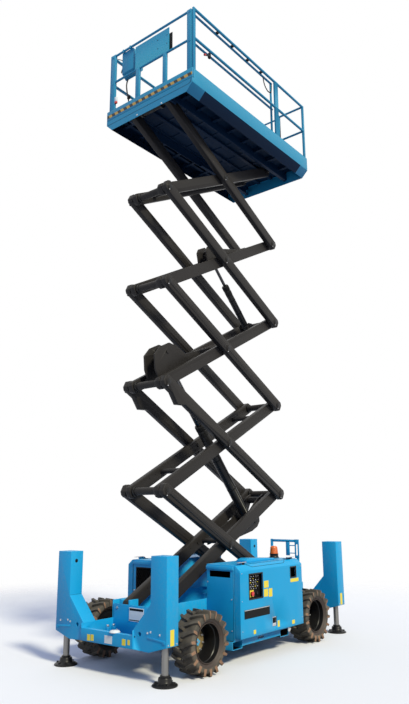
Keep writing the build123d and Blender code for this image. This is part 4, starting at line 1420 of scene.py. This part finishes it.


class LIFT_OT_platform(bpy.types.Operator):
    """Finishes the platform's deck, its ribs and its chequer plate"""

    bl_idname = "lift.platform"
    bl_label = "Platform deck"

    def execute(self, context):
        low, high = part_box("platform_deck")
        deck_floor = low.z + 0.196
        finishes = [platform_paint(), deck_plate(), underside_shade_paint(), matt_black(), bright_steel()]

        def tones(face):
            centre = face.calc_center_median()
            on_floor = deck_floor - 0.01 < centre.z < deck_floor + 0.05 and abs(centre.y) < 0.79
            if face.normal.z > 0.9 and on_floor:
                return 1
            # faces under the floor, and the slanted skirt faces between rear and front, get the underside's
            # painted shade
            rear, front = (at(x) for x in SHADED_SKIRT)
            outer = face.normal.y * centre.y > 0 and abs(centre.y) > 0.69 and (
                abs(face.normal.y) > 0.85 or abs(face.normal.y) > 0.3 and not rear < centre.x < front)
            ends = abs(face.normal.x) > 0.9 and (centre.x > high.x - 0.03 or centre.x < low.x + 0.02)
            if centre.z < deck_floor and not outer and not ends:
                return 2
            return 0

        def fittings(bm):
            # cross ribs under the floor, in the underside's painted shade
            for x in (-1.35, -1.0, -0.65, -0.30, 0.05, 0.40, 0.75, 1.08):
                ribs = [(0.020, (-0.352, 0.352), 0.016, 0.004)]
                ribs += [(0.022, beside(side, 0.415, 0.690), 0.074, 0.068) for side, _ in SIDES]
                for half, y, deep, shallow in ribs:
                    pour(bm, block((at(x) - half, y[0], deck_floor - deep),
                                   (at(x) + half, y[1], deck_floor - shallow)), 2)
            # long ribs under the floor, also in the underside's painted shade
            for side, _ in SIDES:
                for near, depth in ((0.10, 0.040), (0.56, 0.060)):
                    y = beside(side, near, near + 0.05)
                    pour(bm, block((low.x + 0.02, y[0], deck_floor - depth),
                                   (high.x - 0.04, y[1], deck_floor - 0.004), 0.003), 2)

            # folded end plates that close the skirts, with their bolts
            knee, foot, top = low.z + 0.104, low.z, high.z
            knee_y, foot_y = 0.7975, 0.694
            closers = (
                (high.x - 0.0045, high.x + 0.0003, knee + 0.067),
                (low.x - 0.016, low.x - 0.011, top),
            )
            for x0, x1, rise in closers:
                ends = [
                    (-knee_y, rise), (-knee_y, knee), (-foot_y, foot),
                    (foot_y, foot), (knee_y, knee), (knee_y, rise),
                ]
                pour(bm, plate(ends, x0, x1, "x"), 0)
            for side, _ in SIDES:
                ends = [(0.420, foot), (foot_y, foot), (knee_y, knee), (knee_y, top), (0.420, top)]
                pour(bm, plate([(side * y, z) for y, z in ends], low.x - 0.0115, low.x + 0.0003, "x"), 0)
            pour(bm, block((low.x - 0.0115, -0.421, foot + 0.190), (low.x + 0.0003, 0.421, top), 0), 0)
            bolts(bm, [(high.x, y, z) for y, z in ((0.264, 6.969), (-0.189, 6.980))], (1, 0, 0), 4, 0.008)
            # matt black strip on the deck's front: painted shade under the lower edge of the extension board
            seam = [
                (-0.790, 7.046), (0.735, 7.046), (0.770, 7.062), (0.782, 7.118),
                (0.777, 7.118), (0.765, 7.066), (0.733, 7.051), (-0.790, 7.051),
            ]
            pour(bm, plate(seam, high.x - 0.001, high.x + 0.0012, "x"), 3)

        dressed("platform_deck", finishes, 0.002, tones=tones, extra=fittings,
                cuts=[("x", at(x)) for x in SHADED_SKIRT])
        return {"FINISHED"}


class LIFT_OT_extension(bpy.types.Operator):
    """Finishes the sliding extension with its striped front board"""

    bl_idname = "lift.extension"
    bl_label = "Extension deck"

    def execute(self, context):
        low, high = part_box("extension_deck")
        stripe = (0.109, 0.062)
        finishes = [platform_paint(), deck_plate(), hazard_stripe(), matt_black(), bright_steel()]

        def tones(face):
            centre = face.calc_center_median()
            return 1 if face.normal.z > 0.9 and centre.x < high.x - 0.03 and abs(centre.y) < 0.728 else 0

        def fittings(bm):
            label(bm, (high.x - 0.001, low.y + 0.004, high.z - stripe[0]),
                  (high.x + 0.0012, high.y - 0.004, high.z - stripe[1]), 2)

        dressed("extension_deck", finishes, 0.002, tones=tones, extra=fittings)
        return {"FINISHED"}


FLOOR_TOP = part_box("extension_deck")[0].z + 0.025
RAIL_TOP = 8.2059               # middles of the fixed guardrail's top and middle tubes
RAIL_MIDDLE = 7.7559
SLIDING_LIFT = 0.027            # how far the sliding rails are raised and set out
SLIDING_SHIFT = 0.013
# routes of the cables on the sliding rail, with their radii
CABLES = (
    (
        (
            (-0.455, 0.742, 8.155), (-0.470, 0.742, 8.060), (-0.560, 0.742, 7.975),
            (-0.660, 0.742, 7.985), (-0.690, 0.742, 8.060), (-0.688, 0.742, 8.150),
        ),
        0.008,
    ),
    (
        (
            (1.230, -0.700, 8.160), (1.220, -0.600, 8.110), (1.200, -0.590, 8.040),
            (1.200, -0.640, 7.960), (1.205, -0.650, 7.900), (1.225, -0.600, 7.930),
        ),
        0.006,
    ),
    (
        (
            (1.160, -0.500, 7.830), (1.190, -0.552, 7.744), (1.200, -0.517, 7.528),
            (1.200, -0.480, 7.396), (1.195, -0.470, 7.250), (1.195, -0.470, FLOOR_TOP),
        ),
        0.010,
    ),
)


class LIFT_OT_guardrails(bpy.types.Operator):
    """Finishes the guardrails, the gate and the extension's rails"""

    bl_idname = "lift.guardrails"
    bl_label = "Guardrails"

    def execute(self, context):
        finishes = [
            platform_paint(), gloss_black(), red_plastic(), bright_steel(), patch_white(), matt_black(),
        ]
        floor, top, mid = FLOOR_TOP, RAIL_TOP, RAIL_MIDDLE

        def spacers(bm):
            # pads that hold the sliding rail under the fixed one
            for side, _ in SIDES:
                y = beside(side, 0.742, 0.782)
                for x in (0.723, 0.373, -0.009, -0.364):
                    pour(bm, block((at(x) - 0.018, y[0], top - 0.042),
                                   (at(x) + 0.018, y[1], top - 0.012), 0.003), 1)

        def sliding(bm):
            # wide corner posts and middle posts of the front
            for side, _ in SIDES:
                y = beside(side, 0.684, 0.757)
                pour(bm, block((at(1.2528), y[0], floor), (at(1.2872), y[1], top), 0.002), 0)
            for y0, y1 in ((-0.264, -0.192), (0.252, 0.314)):
                pour(bm, block((at(1.2528), y0, floor), (at(1.2872), y1, mid), 0.002), 0)
            # screws of the blank panel and the dark plate at its edge
            for y in (0.144, 0.314):
                for z in (8.030, 7.896):
                    pour(bm, bar((at(1.270), y, z), (at(1.2735), y, z), 0.007, 12), 1)
            pour(bm, block((at(1.252), 0.340, 7.770), (at(1.262), 0.400, 8.040), 0.001), 5)
            # handle that locks the extension, red at its tip
            grip = [(at(0.870), 0.745, 7.735), (at(0.905), 0.757, 7.700), (at(0.985), 0.757, 7.668)]
            pour(bm, tube_line([Vector(each) for each in grip], 0.014, 12), 1)
            pour(bm, bar(grip[2], (at(1.008), 0.757, 7.655), 0.0155, 16, 0.003), 2)
            pour(bm, block((at(0.855), 0.720, 7.690), (at(0.890), 0.752, 7.770), 0.003), 1)
            # cables: a loop at the rear of the rail, one by the controls and one down to the floor
            for places, radius in CABLES:
                pour(bm, tube_line([Vector((at(x), y, z)) for x, y, z in places], radius, 12), 1)
            pour(bm, block((at(1.185), -0.500, 7.420), (at(1.215), -0.455, 7.470), 0.004), 5)
            # red and white box beside the corner post
            pour(bm, block((at(1.255), -0.690, 7.390), (at(1.285), -0.650, 7.420), 0.003), 2)
            pour(bm, block((at(1.255), -0.690, 7.420), (at(1.285), -0.650, 7.490), 0.003), 4)

        def closer(place):
            if abs(place.y) > 0.70:
                if min(abs(place.z - top + 0.062), abs(place.z - mid + 0.062)) < 0.0175:
                    place.z += SLIDING_LIFT
                place.y += SLIDING_SHIFT if place.y > 0 else -SLIDING_SHIFT
            return place

        def narrower(place):
            place.y = -0.350 + (place.y + 0.380) * 0.865
            return place

        dressed("guardrail", finishes, 0.0015, extra=spacers, sharp=40)
        dressed("gate", finishes, 0.0015, sharp=40)
        dressed("extension_rail", finishes, 0.0015, extra=sliding, sharp=40, reshape=closer)
        dressed("platform_controls", finishes, 0.004, reshape=narrower)
        return {"FINISHED"}


CAMERA_PLACE = (7.045, 5.47, 1.706)
CAMERA_TURNS = (-141.33, 13.58, -0.3)    # yaw, pitch and roll in degrees
CAMERA_LENS = 33.21
FLOOR_FADE = (3.6, 9.0)                  # distances between which the floor fades out
# sun lamps: name, place, what it points at, strength, angle and tint
LAMPS = (
    ("key", (2.6, 9.0, 11.0), (0, 0, 3.0), 3.6, 10, (1.0, 0.95, 0.72)),
    ("fill", (12.0, 2.0, 5.0), (0, 0, 3.5), 0.15, 50, (0.70, 0.85, 1.0)),
)


class LIFT_OT_stage(bpy.types.Operator):
    """Lays the floor, hangs the lamps and sets the camera"""

    bl_idname = "lift.stage"
    bl_label = "Floor, lamps and camera"

    def execute(self, context):
        scene = context.scene
        scene.view_settings.view_transform = "Standard"

        floor = bmesh.new()
        bmesh.ops.create_grid(floor, x_segments=2, y_segments=2, size=60)
        mesh = bpy.data.meshes.new("floor")
        floor.to_mesh(mesh)
        floor.free()
        ground = bpy.data.objects.new("floor", mesh)
        scene.collection.objects.link(ground)
        made = bpy.data.materials.new("floor")
        made.use_nodes = True
        tree = made.node_tree
        shader = tree.nodes["Principled BSDF"]
        shader.inputs["Roughness"].default_value = 0.9
        path = tree.nodes.new("ShaderNodeLightPath")
        tone = noise(tree, 0.5, 3)
        pale = mix_colour(tree, tone, (0.80, 0.80, 0.84), (0.83, 0.83, 0.87))
        dull = mix_colour(tree, path.outputs["Is Diffuse Ray"], pale, (0.16, 0.17, 0.19))
        tree.links.new(dull, shader.inputs["Base Color"])
        place = tree.nodes.new("ShaderNodeTexCoord")
        reach = tree.nodes.new("ShaderNodeVectorMath")
        reach.operation = "LENGTH"
        tree.links.new(place.outputs["Object"], reach.inputs[0])
        far = ramp(tree, reach.outputs["Value"], *FLOOR_FADE)
        tree.links.new(maths(tree, "SUBTRACT", 1.0, far), shader.inputs["Alpha"])
        mesh.materials.append(made)

        world = bpy.data.worlds.new("studio")
        scene.world = world
        world.use_nodes = True
        tree = world.node_tree
        path = tree.nodes.new("ShaderNodeLightPath")
        seen = maths(tree, "MAXIMUM", path.outputs["Is Camera Ray"], path.outputs["Is Transmission Ray"])
        seen = maths(tree, "MAXIMUM", seen, path.outputs["Is Glossy Ray"])
        shade = mix_colour(tree, seen, (0.36, 0.43, 0.62), (1.0, 1.0, 1.0))
        tree.links.new(shade, tree.nodes["Background"].inputs["Color"])

        for name, place, aim, power, angle, tint in LAMPS:
            lamp = bpy.data.lights.new(name, "SUN")
            lamp.energy = power
            lamp.angle = radians(angle)
            lamp.color = tint
            holder = bpy.data.objects.new(name, lamp)
            holder.location = place
            holder.rotation_euler = (Vector(aim) - Vector(place)).to_track_quat("-Z", "Y").to_euler()
            scene.collection.objects.link(holder)

        camera = bpy.data.cameras.new("camera")
        camera.lens = CAMERA_LENS
        camera.clip_end = 200
        holder = bpy.data.objects.new("camera", camera)
        yaw, pitch, roll = (radians(turn) for turn in CAMERA_TURNS)
        look = Vector((cos(pitch) * cos(yaw), cos(pitch) * sin(yaw), sin(pitch)))
        turn = look.to_track_quat("-Z", "Y").to_matrix().to_4x4()
        holder.matrix_world = Matrix.Translation(CAMERA_PLACE) @ turn @ Matrix.Rotation(roll, 4, "Z")
        scene.collection.objects.link(holder)
        scene.camera = holder
        return {"FINISHED"}


STEPS = (
    LIFT_OT_stage, LIFT_OT_chassis, LIFT_OT_outriggers, LIFT_OT_legs, LIFT_OT_axles, LIFT_OT_wheels,
    LIFT_OT_cabinets, LIFT_OT_doors, LIFT_OT_controls_and_engine, LIFT_OT_fork_pockets, LIFT_OT_ladder,
    LIFT_OT_beacon, LIFT_OT_scissor_arms, LIFT_OT_cylinders, LIFT_OT_platform, LIFT_OT_extension,
    LIFT_OT_guardrails,
)


class LIFT_PT_finish(bpy.types.Panel):
    """Lists the steps of the finish and its settings"""

    bl_idname = "LIFT_PT_finish"
    bl_label = "Scissor Lift"
    bl_space_type = "VIEW_3D"
    bl_region_type = "UI"
    bl_category = "Scissor Lift"

    def draw(self, context):
        for group in (context.scene.lift_colours, context.scene.lift_sizes):
            column = self.layout.column(align=True)
            for setting in group.bl_rna.properties.keys():
                if setting not in ("rna_type", "name"):
                    column.prop(group, setting)
        column = self.layout.column(align=True)
        for step in STEPS:
            column.operator(step.bl_idname)


CLASSES = (LiftColours, LiftSizes, *STEPS, LIFT_PT_finish)


def register():
    for each in CLASSES:
        bpy.utils.register_class(each)
    bpy.types.Scene.lift_colours = PointerProperty(type=LiftColours)
    bpy.types.Scene.lift_sizes = PointerProperty(type=LiftSizes)


def unregister():
    del bpy.types.Scene.lift_sizes
    del bpy.types.Scene.lift_colours
    for each in reversed(CLASSES):
        bpy.utils.unregister_class(each)


def main():
    """Runs every step."""
    register()
    for step in STEPS:
        section, name = step.bl_idname.split(".")
        getattr(getattr(bpy.ops, section), name)()


if __name__ == "__main__":
    main()
